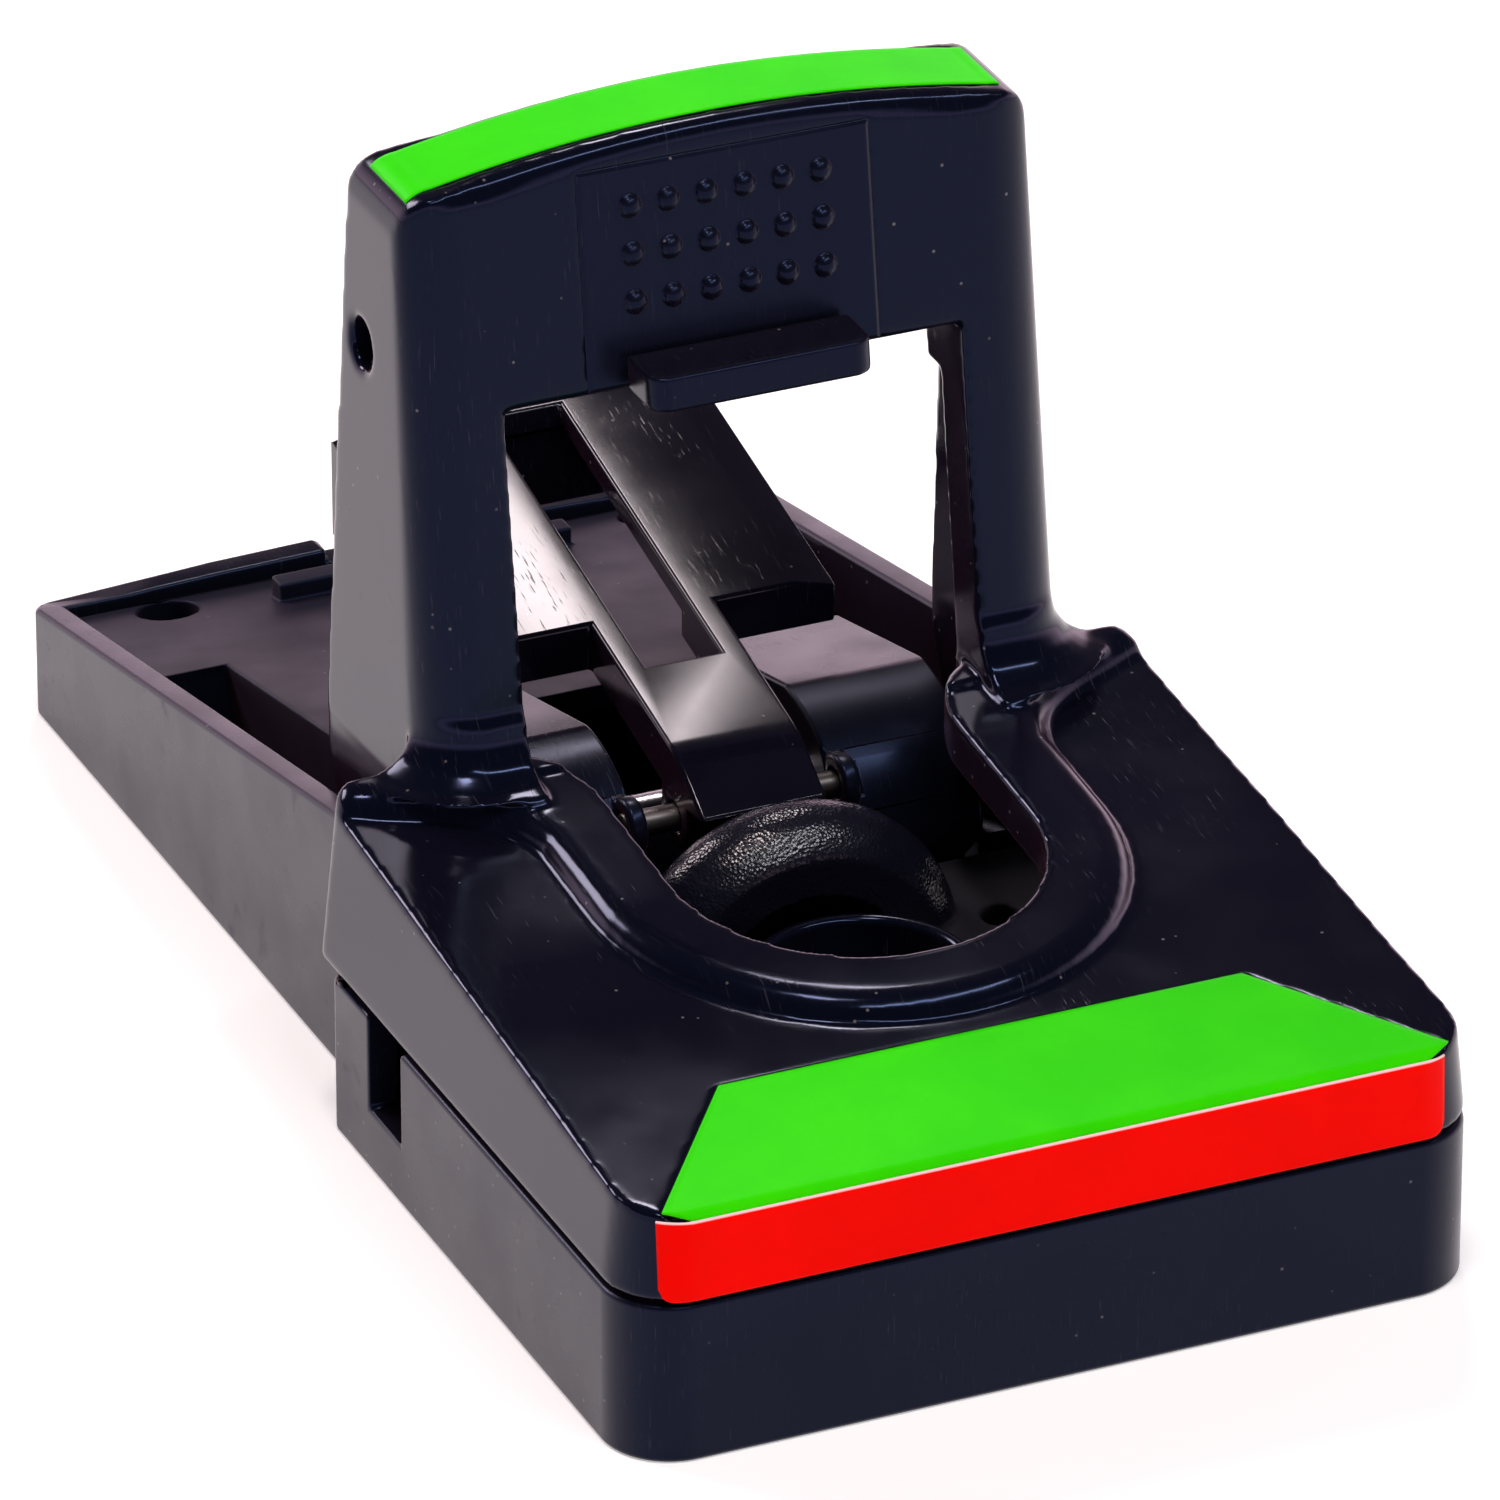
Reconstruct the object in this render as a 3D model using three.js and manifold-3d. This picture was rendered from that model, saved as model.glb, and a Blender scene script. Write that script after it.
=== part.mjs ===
// Snap mouse trap, press-to-set kind: a moulded base with a sloping rear tray, and one jaw lever
// whose front half is the press pedal and whose rear half is the upright striking frame.
// Millimetres, +X right, +Y from the pedal towards the tray, +Z up.
// Construction runs from y = 0 at the pedal's front face; the group moves it to the box centre.

import * as THREE from 'three';
import * as BufferGeometryUtils from 'three/addons/utils/BufferGeometryUtils.js';
import Module from 'manifold-3d';

const wasm = await Module();
wasm.setup();

// ---- driving dimensions ------------------------------------------------------------------

const GAP = 0.3;                 // clearance between touching pieces
const PROUD = 0.5;               // how far a cutter runs past the face it opens
const SLIVER = 0.005;            // joins leave no edge finer than this
const CRISP = 0.1;               // corner radius where a mould leaves an edge sharp
const OVERLAP = 0.2;             // how deep a fillet is let into the wall it joins

// base
const BASE_WIDTH = 50.8;
const BOX_LENGTH = 42.1;
const BOX_HEIGHT = 9.6;
const BOX_CORNER = 4;
const TUB_WALL = 1.8;
const TUB_FLOOR = 1.6;
const FOOT_CHAMFER = 0.4;

// rear tray
const TOTAL_LENGTH = 95.3;
const TRAY_INSET = 2.9;          // tray side in from the box side
const TRAY_WALL = 1.7;
const TRAY_CORNER = 1.2;
const TRAY_SIDE_START = 45.2;
const RIM_HEIGHT_REAR = 6.8;
const RIM_SLOPE = 0.193;
const RIM_CROWN = 0.7;           // rise of the rear rim at its middle
const RIM_CROWN_STEPS = 12;
const RIM_NOTCH_WIDTH = 8.6;
const RIM_NOTCH_DEPTH = 0.9;

// side slots of the box
const SLOT_FRONT = 31.8;
const SLOT_REAR = 36.3;
const SLOT_BOTTOM = 3.8;

// tray deck
const DECK_DROP = 0.7;
const DECK_THICK = 1.6;
const DECK_START = 62.5;
const POCKET_TO_REAR = 15.9;     // rear end of the pockets, from the tray's rear face
const POCKET_RAMP = 2.4;
const POCKET_WIDTH = 4.1;
const DECK_HOLE_RADIUS = 1.85;
const DECK_HOLE_INSET = 5.15;    // from the tray's inner side
const DECK_HOLE_TO_REAR = 4;
const DECK_RIB_TO_REAR = 6.7;
const DECK_RIB_WIDTH = 18.6;
const DECK_RIB_THICK = 1.5;
const DECK_RIB_HEIGHT = 1.1;
const DECK_WEB = 1.4;

// main axle
const AXLE_Y = 49.8;
const AXLE_Z = 10.8;
const AXLE_RADIUS = 1.25;
const AXLE_PAST_CLIP = 0.2;
const CLIP_RADIUS = 2.6;
const CLIP_THICK = 0.5;
const RUNNING = 0.06;            // radial play of an axle or pin in its hole

// torsion springs
const SPRING_WIRE = 0.8;
const SPRING_MEAN_RADIUS = 2.5;
const SPRING_TURNS = 4;
const SPRING_PITCH = 1.3;
const SPRING_LEG = 9.5;

// spring covers
const COVER_INNER_X = 6;
const COVER_OUTER_X = 14.6;
const COVER_WALL = 1;
const COVER_CREST_Y = 50.5;
const COVER_CREST_Z = 16.9;
const COVER_NOSE_REACH = 8.5;    // crest to the foremost point
const COVER_NOSE_DROP = 7.4;     // crest down to the foremost point
const COVER_UNDERCUT = 2.4;      // room under the nose for the catch
const COVER_RAMP_DROP = 0.24;

// pedal half of the jaw lever
const PEDAL_WALL = 1.8;
const PEDAL_FRONT_TOP = 15;
const PEDAL_SLOPE = 0.092;
const PEDAL_REAR = 44;
const PEDAL_DRAFT = 0.105;
const PEDAL_NOSE_RADIUS = 0.8;
const BAND_HEIGHT = 1.3;
const BAND_FLANK = 1.5;
const BAND_OUTER = 15.5;
const BAND_STRAIGHT = 7;         // straight run of the band's sides, from the mouth's centre
const BAND_EASE = 1;             // last of the straight run, where the side starts to turn
const BAND_FLANK_STEPS = 3;
// the band's sweep out to the pedal's sides, as shares of its width and of its length
const BAND_FLARE = [[0.02, 0.1], [0.08, 0.28], [0.2, 0.46], [0.42, 0.63], [0.72, 0.8], [1, 0.97]];
const MOUTH_RADIUS = 10.7;
const MOUTH_CENTRE_Y = 28;
const MOUTH_STRAIGHT = 9;
const MOUTH_REAR_X = 13.6;
const MOUTH_PULL = 0.7;          // how late the mouth widens, as a share of the run

// upright half of the jaw lever
const FRAME_TOP = 55.4;
const FRAME_INSET = 5.9;         // frame's side in from the base's side
const FRAME_SIDE_TAPER = 0.6;
const FRAME_FRONT_BASE = 40.7;   // front face where it meets the shelf
const FRAME_FRONT_TOP = 45.75;
const FRAME_REAR_BASE = 56.3;
const FRAME_REAR_TOP = 53.4;
const FRAME_ROOT = 20.2;
const FRAME_CORNER = 3.55;
const FRAME_WALL = 1.8;
const CROWN_RADIUS = 85;
const CROWN_SHOULDER = 2.2;
const CROWN_STEPS = 6;
const CROWN_FRONT_ROUND = 1;
const CROWN_REAR_ROUND = 1.7;
const WINDOW_HALF = 13.75;
const WINDOW_TOP = 41;
const LIP_DEPTH = 3.6;
const GUSSET_DEPTH = 5.4;
const GUSSET_HEIGHT = 4;
const ROOT_FILLET = 3.4;
const SIDE_HOLE_RADIUS = 1.5;
const SIDE_HOLE_Y = 51.5;
const SIDE_HOLE_Z = 42.8;
const CHEEK_RADIUS = 4.6;
const SWING_CLEAR = 0.4;         // room left round the swinging pedal

// grip pad and finger ledge
const PAD_HALF = 8.2;
const PAD_BOTTOM = 41.5;
const PAD_TOP = 53.2;
const PAD_THICK = 0.6;
const BUMP_COLUMNS = 6;
const BUMP_ROWS = 3;
const BUMP_RADIUS = 0.65;
const BUMP_PITCH_X = 2.28;
const BUMP_PITCH_Z = 2.73;
const BUMP_FIRST_Z = 46;
const LEDGE_HALF = 6.7;
const LEDGE_REACH = 4.3;
const LEDGE_TOP = 43.3;
const LEDGE_THICK = 2;
const LEDGE_CORNER = 1.2;

// labels
const LABEL_THICK = 0.3;
const LABEL_HALF = 22.9;
const LABEL_NARROW_HALF = 15.2;
const LABEL_DEPTH = 10.4;
const BAND_LABEL_BOTTOM = 10.3;
const TOP_LABEL_HALF = 17.5;
const TOP_LABEL_SETBACK = 1.6;   // label's front edge behind the frame's front face
const TOP_LABEL_DEPTH = 4.3;

// treadle
const TREADLE_THICK = 3;
const TREADLE_REAR_DEPTH = 6.8;
const TREADLE_SKIN = 1.5;
const TREADLE_NOSE_Y = 39.7;
const TREADLE_NOSE_Z = 15.6;
const TREADLE_NOSE_EDGE = 0.3;
const TREADLE_BEND_ROUND = 1.2;  // length of each half of the bend's rounding
const TREADLE_BEND_Y = 43.3;
const TREADLE_BEND_Z = 17.9;
const TREADLE_RISE = 0.225;
const TREADLE_REAR = 75.4;
const TREADLE_WIDE_START = 55.2;
const TREADLE_TONGUE_HALF = 3.8;
const TREADLE_HALF = 11.3;
const TREADLE_BEVEL = 2.6;
const TREADLE_BEVEL_DROP = 0.7;
const TREADLE_SLOT_HALF = 2.3;
const TREADLE_SLOT_START = 50.9;
const TREADLE_SLOT_END = 73.8;
const TREADLE_PIN_Y = 43.6;
const TREADLE_PIN_Z = 13.9;
const TREADLE_BOSS_RADIUS = 1.7;
const TREADLE_LUG_RADIUS = 1.9;
const TREADLE_LUG_WIDTH = 1.4;
const PIN_RADIUS = 0.8;

// catch
const CATCH_PIN_Y = 42.9;
const CATCH_PIN_Z = 4.6;
const CATCH_PIN_RADIUS = 0.6;
const CATCH_HUB = 1.2;
const CATCH_HALF = 16.2;
const CATCH_ARM_THICK = 1.3;
const CATCH_ARM_TOP = 9.4;
const CATCH_TOE_HALF = 2;
const CATCH_TOE_TOP = 11.6;

// bait cup and hood
const CUP_Y = 26.2;
const CUP_RADIUS = 6.5;
const CUP_TOP = 12.2;
const CUP_WALL = 0.9;
const CUP_FOOT_RADIUS = 8.2;
const CUP_FOOT_THICK = 1.3;
const CUP_GRIP_WIDTH = 1.4;
const HOOD_FACE_Y = 33.25;
const HOOD_CENTRE_Y = 36.25;
const HOOD_CENTRE_Z = 7.3;
const HOOD_HALF_X = 10.2;
const HOOD_HALF_Y = 5.1;
const HOOD_HALF_Z = 10;
const HOOD_WALL = 1.2;
const PLATE_TOP = 9;
const PLATE_THICK = 1.4;
const PLATE_MARGIN = 5.4;        // plate's side in from the base's side
const PLATE_FRONT = 12;
const PLATE_REAR = 41.2;
const PLATE_HOLE_X = 12;
const PLATE_HOLE_Y = 34;
const PLATE_HOLE_RADIUS = 1.2;

// ---- looks -------------------------------------------------------------------------------

const plastic = (color) => new THREE.MeshStandardMaterial({ color, roughness: 0.38, metalness: 0 });
const steel = new THREE.MeshStandardMaterial({ color: 0xb4b6b8, roughness: 0.3, metalness: 1 });
const vinylGreen = new THREE.MeshStandardMaterial({ color: 0x46e010, roughness: 0.45, metalness: 0 });
const vinylRed = new THREE.MeshStandardMaterial({ color: 0xf01818, roughness: 0.45, metalness: 0 });
const black = plastic(0x0b0c11);
const blackTextured = plastic(0x101116);

// ---- modelling helpers -------------------------------------------------------------------

function toSolid(geometry) {
  const bare = geometry.index ? geometry.clone() : BufferGeometryUtils.mergeVertices(geometry.clone());
  bare.deleteAttribute('normal');
  bare.deleteAttribute('uv');
  const merged = BufferGeometryUtils.mergeVertices(bare, 1e-4);
  return new wasm.Manifold(new wasm.Mesh({
    numProp: 3,
    vertProperties: new Float32Array(merged.attributes.position.array),
    triVerts: new Uint32Array(merged.index.array),
  }));
}

function toMesh(name, solid, material) {
  const result = solid.asOriginal().simplify(SLIVER).getMesh();
  const geometry = new THREE.BufferGeometry();
  geometry.setAttribute('position', new THREE.BufferAttribute(result.vertProperties, 3));
  geometry.setIndex(new THREE.BufferAttribute(result.triVerts, 1));
  geometry.computeVertexNormals();
  const mesh = new THREE.Mesh(geometry, material);
  mesh.name = name;
  return mesh;
}

function moved(geometry, change) {
  const position = geometry.attributes.position;
  const point = new THREE.Vector3();
  for (let i = 0; i < position.count; i += 1) {
    point.fromBufferAttribute(position, i);
    change(point);
    position.setXYZ(i, point.x, point.y, point.z);
  }
  return geometry;
}

function outline(points) {
  return new THREE.Shape(points.map(([a, b]) => new THREE.Vector2(a, b)));
}

function slab(shape, z0, z1, curveSegments = 10) {
  const geometry = new THREE.ExtrudeGeometry(shape, { depth: z1 - z0, bevelEnabled: false, curveSegments });
  return geometry.translate(0, 0, z0);
}

// a profile drawn in (y, z), run from x0 to x1
function alongX(profile, x0, x1, steps = 1) {
  const shape = Array.isArray(profile) ? outline(profile) : profile;
  const geometry = new THREE.ExtrudeGeometry(shape, {
    depth: x1 - x0, steps, bevelEnabled: false, curveSegments: 10,
  });
  const axes = new THREE.Matrix4().makeBasis(
    new THREE.Vector3(0, 1, 0),
    new THREE.Vector3(0, 0, 1),
    new THREE.Vector3(1, 0, 0),
  );
  return geometry.applyMatrix4(axes).translate(x0, 0, 0);
}

// a profile drawn in (x, z), run from y0 to y1
function alongY(profile, y0, y1) {
  const shape = Array.isArray(profile) ? outline(profile) : profile;
  const geometry = new THREE.ExtrudeGeometry(shape, { depth: y1 - y0, bevelEnabled: false, curveSegments: 10 });
  return geometry.rotateX(Math.PI / 2).translate(0, y1, 0);
}

function block(x0, x1, y0, y1, z0, z1) {
  const geometry = new THREE.BoxGeometry(x1 - x0, y1 - y0, z1 - z0);
  return toSolid(geometry.translate((x0 + x1) / 2, (y0 + y1) / 2, (z0 + z1) / 2));
}

function rodX(y, z, radius, x0, x1, segments = 24) {
  const geometry = new THREE.CylinderGeometry(radius, radius, x1 - x0, segments);
  return toSolid(geometry.rotateZ(Math.PI / 2).translate((x0 + x1) / 2, y, z));
}

function rodZ(x, y, radius, z0, z1, segments = 32) {
  const geometry = new THREE.CylinderGeometry(radius, radius, z1 - z0, segments);
  return toSolid(geometry.rotateX(Math.PI / 2).translate(x, y, (z0 + z1) / 2));
}

function join(solids) {
  return solids.reduce((sum, solid) => sum.add(solid));
}

function mirrored(solid) {
  return solid.mirror([1, 0, 0]);
}

function bothSides(solid) {
  return solid.add(mirrored(solid));
}

function roundedBlockOutline(half, y0, y1, frontRadius, rearRadius) {
  const shape = new THREE.Shape();
  shape.moveTo(-half + frontRadius, y0);
  shape.lineTo(half - frontRadius, y0);
  shape.absarc(half - frontRadius, y0 + frontRadius, frontRadius, -Math.PI / 2, 0, false);
  shape.lineTo(half, y1 - rearRadius);
  shape.absarc(half - rearRadius, y1 - rearRadius, rearRadius, 0, Math.PI / 2, false);
  shape.lineTo(-half + rearRadius, y1);
  shape.absarc(-half + rearRadius, y1 - rearRadius, rearRadius, Math.PI / 2, Math.PI, false);
  shape.lineTo(-half, y0 + frontRadius);
  shape.absarc(-half + frontRadius, y0 + frontRadius, frontRadius, Math.PI, 1.5 * Math.PI, false);
  return shape;
}

// ---- lines that several pieces follow ----------------------------------------------------

const halfWidth = BASE_WIDTH / 2;
const trayHalf = halfWidth - TRAY_INSET;
const trayInner = trayHalf - TRAY_WALL;
const frameHalfBase = halfWidth - FRAME_INSET;
const frameHalfTop = frameHalfBase - FRAME_SIDE_TAPER;
const clipInner = frameHalfBase + GAP;
const axleHalf = clipInner + CLIP_THICK + AXLE_PAST_CLIP;
const pocketEnd = TOTAL_LENGTH - POCKET_TO_REAR;
const pocketInner = trayInner - GAP - POCKET_WIDTH;
const topLabelFront = FRAME_FRONT_TOP + TOP_LABEL_SETBACK;
const pedalBottom = BOX_HEIGHT + GAP;
const pedalTop = (y) => PEDAL_FRONT_TOP + PEDAL_SLOPE * y;
const rimTop = (y) => RIM_HEIGHT_REAR + RIM_SLOPE * (TOTAL_LENGTH - y);
const deckTop = (y) => rimTop(y) - DECK_DROP;
const between = (z, low, high) => low + (high - low) * (z - FRAME_ROOT) / (FRAME_TOP - FRAME_ROOT);
const frameFront = (z) => between(z, FRAME_FRONT_BASE, FRAME_FRONT_TOP);
const frameRear = (z) => between(z, FRAME_REAR_BASE, FRAME_REAR_TOP);
const frameHalf = (z) => between(z, frameHalfBase, frameHalfTop);
const treadleTop = (y) => TREADLE_BEND_Z + TREADLE_RISE * (y - TREADLE_BEND_Y);

// ---- base tub: front box, tray walls and floor in one moulding ----------------------------

function baseTub() {
  const boxShape = roundedBlockOutline(halfWidth, 0, BOX_LENGTH, BOX_CORNER, TRAY_CORNER);
  const box = toSolid(slab(boxShape, 0, BOX_HEIGHT));
  const trayFront = BOX_LENGTH - TUB_WALL;
  const swing = AXLE_Y - PEDAL_REAR - SWING_CLEAR;
  const traySide = new THREE.Shape();
  traySide.moveTo(trayFront, 0);
  traySide.lineTo(TOTAL_LENGTH, 0);
  traySide.lineTo(TOTAL_LENGTH, rimTop(TOTAL_LENGTH));
  traySide.lineTo(AXLE_Y, rimTop(AXLE_Y));
  traySide.lineTo(TRAY_SIDE_START, rimTop(TRAY_SIDE_START));
  traySide.lineTo(TRAY_SIDE_START, BOX_HEIGHT);
  traySide.lineTo(trayFront, BOX_HEIGHT);
  const swingRoom = block(-trayHalf, trayHalf, trayFront, AXLE_Y, AXLE_Z, FRAME_ROOT)
    .subtract(rodX(AXLE_Y, AXLE_Z, swing, -halfWidth, halfWidth, 48));
  const trayPlan = roundedBlockOutline(trayHalf, trayFront, TOTAL_LENGTH, CRISP, TRAY_CORNER);
  const tray = toSolid(alongX(traySide, -trayHalf, trayHalf))
    .intersect(toSolid(slab(trayPlan, -PROUD, FRAME_ROOT)))
    .subtract(swingRoom);
  const boxHollow = toSolid(slab(roundedBlockOutline(
    halfWidth - TUB_WALL, TUB_WALL, BOX_LENGTH - TUB_WALL, BOX_CORNER - TUB_WALL, CRISP,
  ), TUB_FLOOR, BOX_HEIGHT + PROUD));
  const trayHollow = block(-trayInner, trayInner, trayFront - PROUD,
    TOTAL_LENGTH - TRAY_WALL, TUB_FLOOR, FRAME_ROOT + PROUD);
  const sideSlots = block(-halfWidth - PROUD, halfWidth + PROUD, SLOT_FRONT, SLOT_REAR,
    SLOT_BOTTOM, BOX_HEIGHT + PROUD);
  const rimNotch = block(-RIM_NOTCH_WIDTH / 2, RIM_NOTCH_WIDTH / 2, TOTAL_LENGTH - TRAY_WALL - PROUD,
    TOTAL_LENGTH + PROUD, rimTop(TOTAL_LENGTH) + RIM_CROWN - RIM_NOTCH_DEPTH, FRAME_ROOT);
  const cupHole = rodZ(0, CUP_Y, CUP_FOOT_RADIUS + GAP, -PROUD, TUB_FLOOR + PROUD, 36);
  return box.add(tray)
    .subtract(boxHollow)
    .subtract(trayHollow)
    .add(crownedRim().intersect(toSolid(slab(trayPlan, 0, FRAME_ROOT))))
    .subtract(sideSlots)
    .subtract(rimNotch)
    .subtract(cupHole)
    .subtract(footChamfers())
    .add(catchPosts());
}

// the rear wall, its top edge an arch
function crownedRim() {
  const points = [[trayHalf, TUB_FLOOR / 2]];
  for (let i = 0; i <= RIM_CROWN_STEPS; i += 1) {
    const share = 1 - (2 * i) / RIM_CROWN_STEPS;
    points.push([share * trayHalf, RIM_HEIGHT_REAR + RIM_CROWN * (1 - share * share)]);
  }
  points.push([-trayHalf, TUB_FLOOR / 2]);
  return toSolid(alongY(points, TOTAL_LENGTH - TRAY_WALL, TOTAL_LENGTH));
}

function footChamfers() {
  const front = toSolid(alongX([
    [-PROUD, -PROUD],
    [FOOT_CHAMFER, -PROUD],
    [-PROUD, FOOT_CHAMFER],
  ], -halfWidth - PROUD, halfWidth + PROUD));
  const side = toSolid(alongY([
    [halfWidth + PROUD, -PROUD],
    [halfWidth + PROUD, FOOT_CHAMFER],
    [halfWidth - FOOT_CHAMFER, -PROUD],
  ], -PROUD, BOX_LENGTH + PROUD));
  return front.add(bothSides(side));
}

// two posts on the floor that carry the catch's pin
function catchPosts() {
  const inner = CATCH_HALF + GAP;
  const outer = inner + CATCH_ARM_THICK;
  const post = block(inner, outer, CATCH_PIN_Y - CATCH_HUB, CATCH_PIN_Y + CATCH_HUB,
    TUB_FLOOR - PROUD, CATCH_PIN_Z + CATCH_HUB);
  const bore = rodX(CATCH_PIN_Y, CATCH_PIN_Z, CATCH_PIN_RADIUS + RUNNING, inner - PROUD, outer + PROUD);
  return bothSides(post.subtract(bore));
}

// ---- tray deck: the sloping plate the mouse walks on, with side pockets for the jaw -------

function trayDeck() {
  const rear = TOTAL_LENGTH - TRAY_WALL - GAP;
  const side = trayInner - GAP;
  const holeY = TOTAL_LENGTH - DECK_HOLE_TO_REAR;
  const ribY = TOTAL_LENGTH - DECK_RIB_TO_REAR;
  const plate = (y0, y1, half) => toSolid(alongX([
    [y0, deckTop(y0) - DECK_THICK],
    [y1, deckTop(y1) - DECK_THICK],
    [y1, deckTop(y1)],
    [y0, deckTop(y0)],
  ], -half, half));
  const webTop = (y) => deckTop(y) - DECK_THICK / 2;
  const webFoot = TUB_FLOOR + GAP;
  const webRear = holeY - DECK_HOLE_RADIUS - DECK_WEB;
  const web = toSolid(alongX([
    [DECK_START, webFoot],
    [webRear, webFoot],
    [webRear, webTop(webRear)],
    [DECK_START, webTop(DECK_START)],
  ], pocketInner - DECK_WEB, pocketInner));
  const pocketWall = toSolid(alongX([
    [pocketEnd - POCKET_RAMP, webFoot],
    [pocketEnd - POCKET_RAMP + DECK_WEB, webFoot],
    [pocketEnd + DECK_WEB, webTop(pocketEnd + DECK_WEB)],
    [pocketEnd, webTop(pocketEnd)],
  ], pocketInner - DECK_WEB, side));
  const ribTop = deckTop(ribY) + DECK_RIB_HEIGHT;
  const rib = block(-DECK_RIB_WIDTH / 2, DECK_RIB_WIDTH / 2, ribY, ribY + DECK_RIB_THICK,
    ribTop - DECK_RIB_HEIGHT - DECK_THICK / 2, ribTop);
  const hole = rodZ(side - DECK_HOLE_INSET, holeY, DECK_HOLE_RADIUS, 0, FRAME_ROOT, 20);
  return plate(DECK_START, rear, pocketInner)
    .add(plate(pocketEnd, rear, side))
    .add(bothSides(web))
    .add(bothSides(pocketWall))
    .add(rib)
    .subtract(bothSides(hole));
}

// ---- spring covers: rounded housings over the axle, either side of the treadle ------------

function coverProfile(inset, foot) {
  const reach = COVER_NOSE_REACH - inset;
  const drop = COVER_NOSE_DROP - inset;
  const noseZ = COVER_CREST_Z - COVER_NOSE_DROP;
  const rear = DECK_START - GAP - inset;
  const crest = COVER_CREST_Z - inset;
  const footFront = COVER_CREST_Y - COVER_NOSE_REACH + COVER_UNDERCUT + inset;
  const shape = new THREE.Shape();
  shape.moveTo(footFront, foot);
  shape.lineTo(rear, foot);
  shape.lineTo(rear, crest - COVER_RAMP_DROP * (rear - COVER_CREST_Y));
  shape.lineTo(COVER_CREST_Y, crest);
  shape.absellipse(COVER_CREST_Y, noseZ, reach, drop, Math.PI / 2, Math.PI, false);
  shape.lineTo(footFront, noseZ - COVER_UNDERCUT);
  return shape;
}

function springCover() {
  const foot = TUB_FLOOR + GAP;
  const wallX = COVER_INNER_X + COVER_WALL;
  const outer = toSolid(alongX(coverProfile(0, foot), COVER_INNER_X, COVER_OUTER_X));
  const hollow = toSolid(alongX(coverProfile(COVER_WALL, foot - PROUD), wallX, COVER_OUTER_X - COVER_WALL));
  const boss = rodX(TREADLE_PIN_Y, TREADLE_PIN_Z, TREADLE_BOSS_RADIUS, COVER_INNER_X, wallX);
  const axleBore = rodX(AXLE_Y, AXLE_Z, AXLE_RADIUS + RUNNING, 0, halfWidth);
  const pinBore = rodX(TREADLE_PIN_Y, TREADLE_PIN_Z, PIN_RADIUS + RUNNING, 0, wallX + PROUD);
  return outer.subtract(hollow).add(boss).subtract(axleBore).subtract(pinBore);
}

// ---- axle, clips and torsion springs ------------------------------------------------------

function axleClip() {
  const outer = clipInner + CLIP_THICK;
  return rodX(AXLE_Y, AXLE_Z, CLIP_RADIUS, clipInner, outer)
    .subtract(rodX(AXLE_Y, AXLE_Z, AXLE_RADIUS + RUNNING, clipInner - PROUD, outer + PROUD));
}

function sweep(points, radius, sides) {
  const positions = [];
  const indices = [];
  const count = points.length;
  let normal = new THREE.Vector3(1, 0, 0);
  points.forEach((point, i) => {
    const ahead = points[Math.min(i + 1, count - 1)];
    const behind = points[Math.max(i - 1, 0)];
    const tangent = ahead.clone().sub(behind).normalize();
    normal = normal.clone().addScaledVector(tangent, -normal.dot(tangent)).normalize();
    const binormal = tangent.clone().cross(normal);
    for (let k = 0; k < sides; k += 1) {
      const angle = (2 * Math.PI * k) / sides;
      const ring = point.clone()
        .addScaledVector(normal, radius * Math.cos(angle))
        .addScaledVector(binormal, radius * Math.sin(angle));
      positions.push(ring.x, ring.y, ring.z);
    }
  });
  for (let i = 0; i < count - 1; i += 1) {
    for (let k = 0; k < sides; k += 1) {
      const a = i * sides + k;
      const b = i * sides + (k + 1) % sides;
      indices.push(a, b, b + sides, a, b + sides, a + sides);
    }
  }
  const last = (count - 1) * sides;
  for (let k = 1; k < sides - 1; k += 1) {
    indices.push(0, k + 1, k);
    indices.push(last, last + k, last + k + 1);
  }
  const geometry = new THREE.BufferGeometry();
  geometry.setAttribute('position', new THREE.Float32BufferAttribute(positions, 3));
  geometry.setIndex(indices);
  return geometry;
}

// one leg lies along the floor, the other presses up under the cover's ramp
function springPath() {
  const steps = 8 * SPRING_TURNS;
  const start = COVER_INNER_X + COVER_WALL + GAP + SPRING_WIRE / 2;
  const points = [];
  const place = (x, angle) => new THREE.Vector3(
    x,
    AXLE_Y + SPRING_MEAN_RADIUS * Math.cos(angle),
    AXLE_Z + SPRING_MEAN_RADIUS * Math.sin(angle),
  );
  const first = -Math.PI / 2;
  points.push(place(start, first).add(new THREE.Vector3(0, SPRING_LEG, 0)));
  points.push(place(start, first).add(new THREE.Vector3(0, SPRING_LEG - SPRING_WIRE, 0)));
  points.push(place(start, first).add(new THREE.Vector3(0, SPRING_WIRE, 0)));
  for (let i = 0; i <= steps; i += 1) {
    const turn = i / 8;
    points.push(place(start + SPRING_PITCH * turn, first - 2 * Math.PI * turn));
  }
  const end = place(start + SPRING_PITCH * SPRING_TURNS, first);
  points.push(end.clone().add(new THREE.Vector3(0, -SPRING_WIRE, 0)));
  points.push(end.clone().add(new THREE.Vector3(0, -SPRING_WIRE * 2, 0)));
  return points;
}

function leastSpringGap(points) {
  let least = Infinity;
  for (let i = 0; i < points.length; i += 1) {
    for (let k = i + 5; k < points.length; k += 1) {
      least = Math.min(least, points[i].distanceTo(points[k]) - SPRING_WIRE);
    }
  }
  return least;
}

// ---- jaw lever: press pedal and upright frame in one moulding -----------------------------

function drafted(geometry) {
  return moved(geometry, (point) => {
    const inset = PEDAL_DRAFT * (point.z - pedalBottom);
    point.x *= 1 - inset / halfWidth;
  });
}

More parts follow.
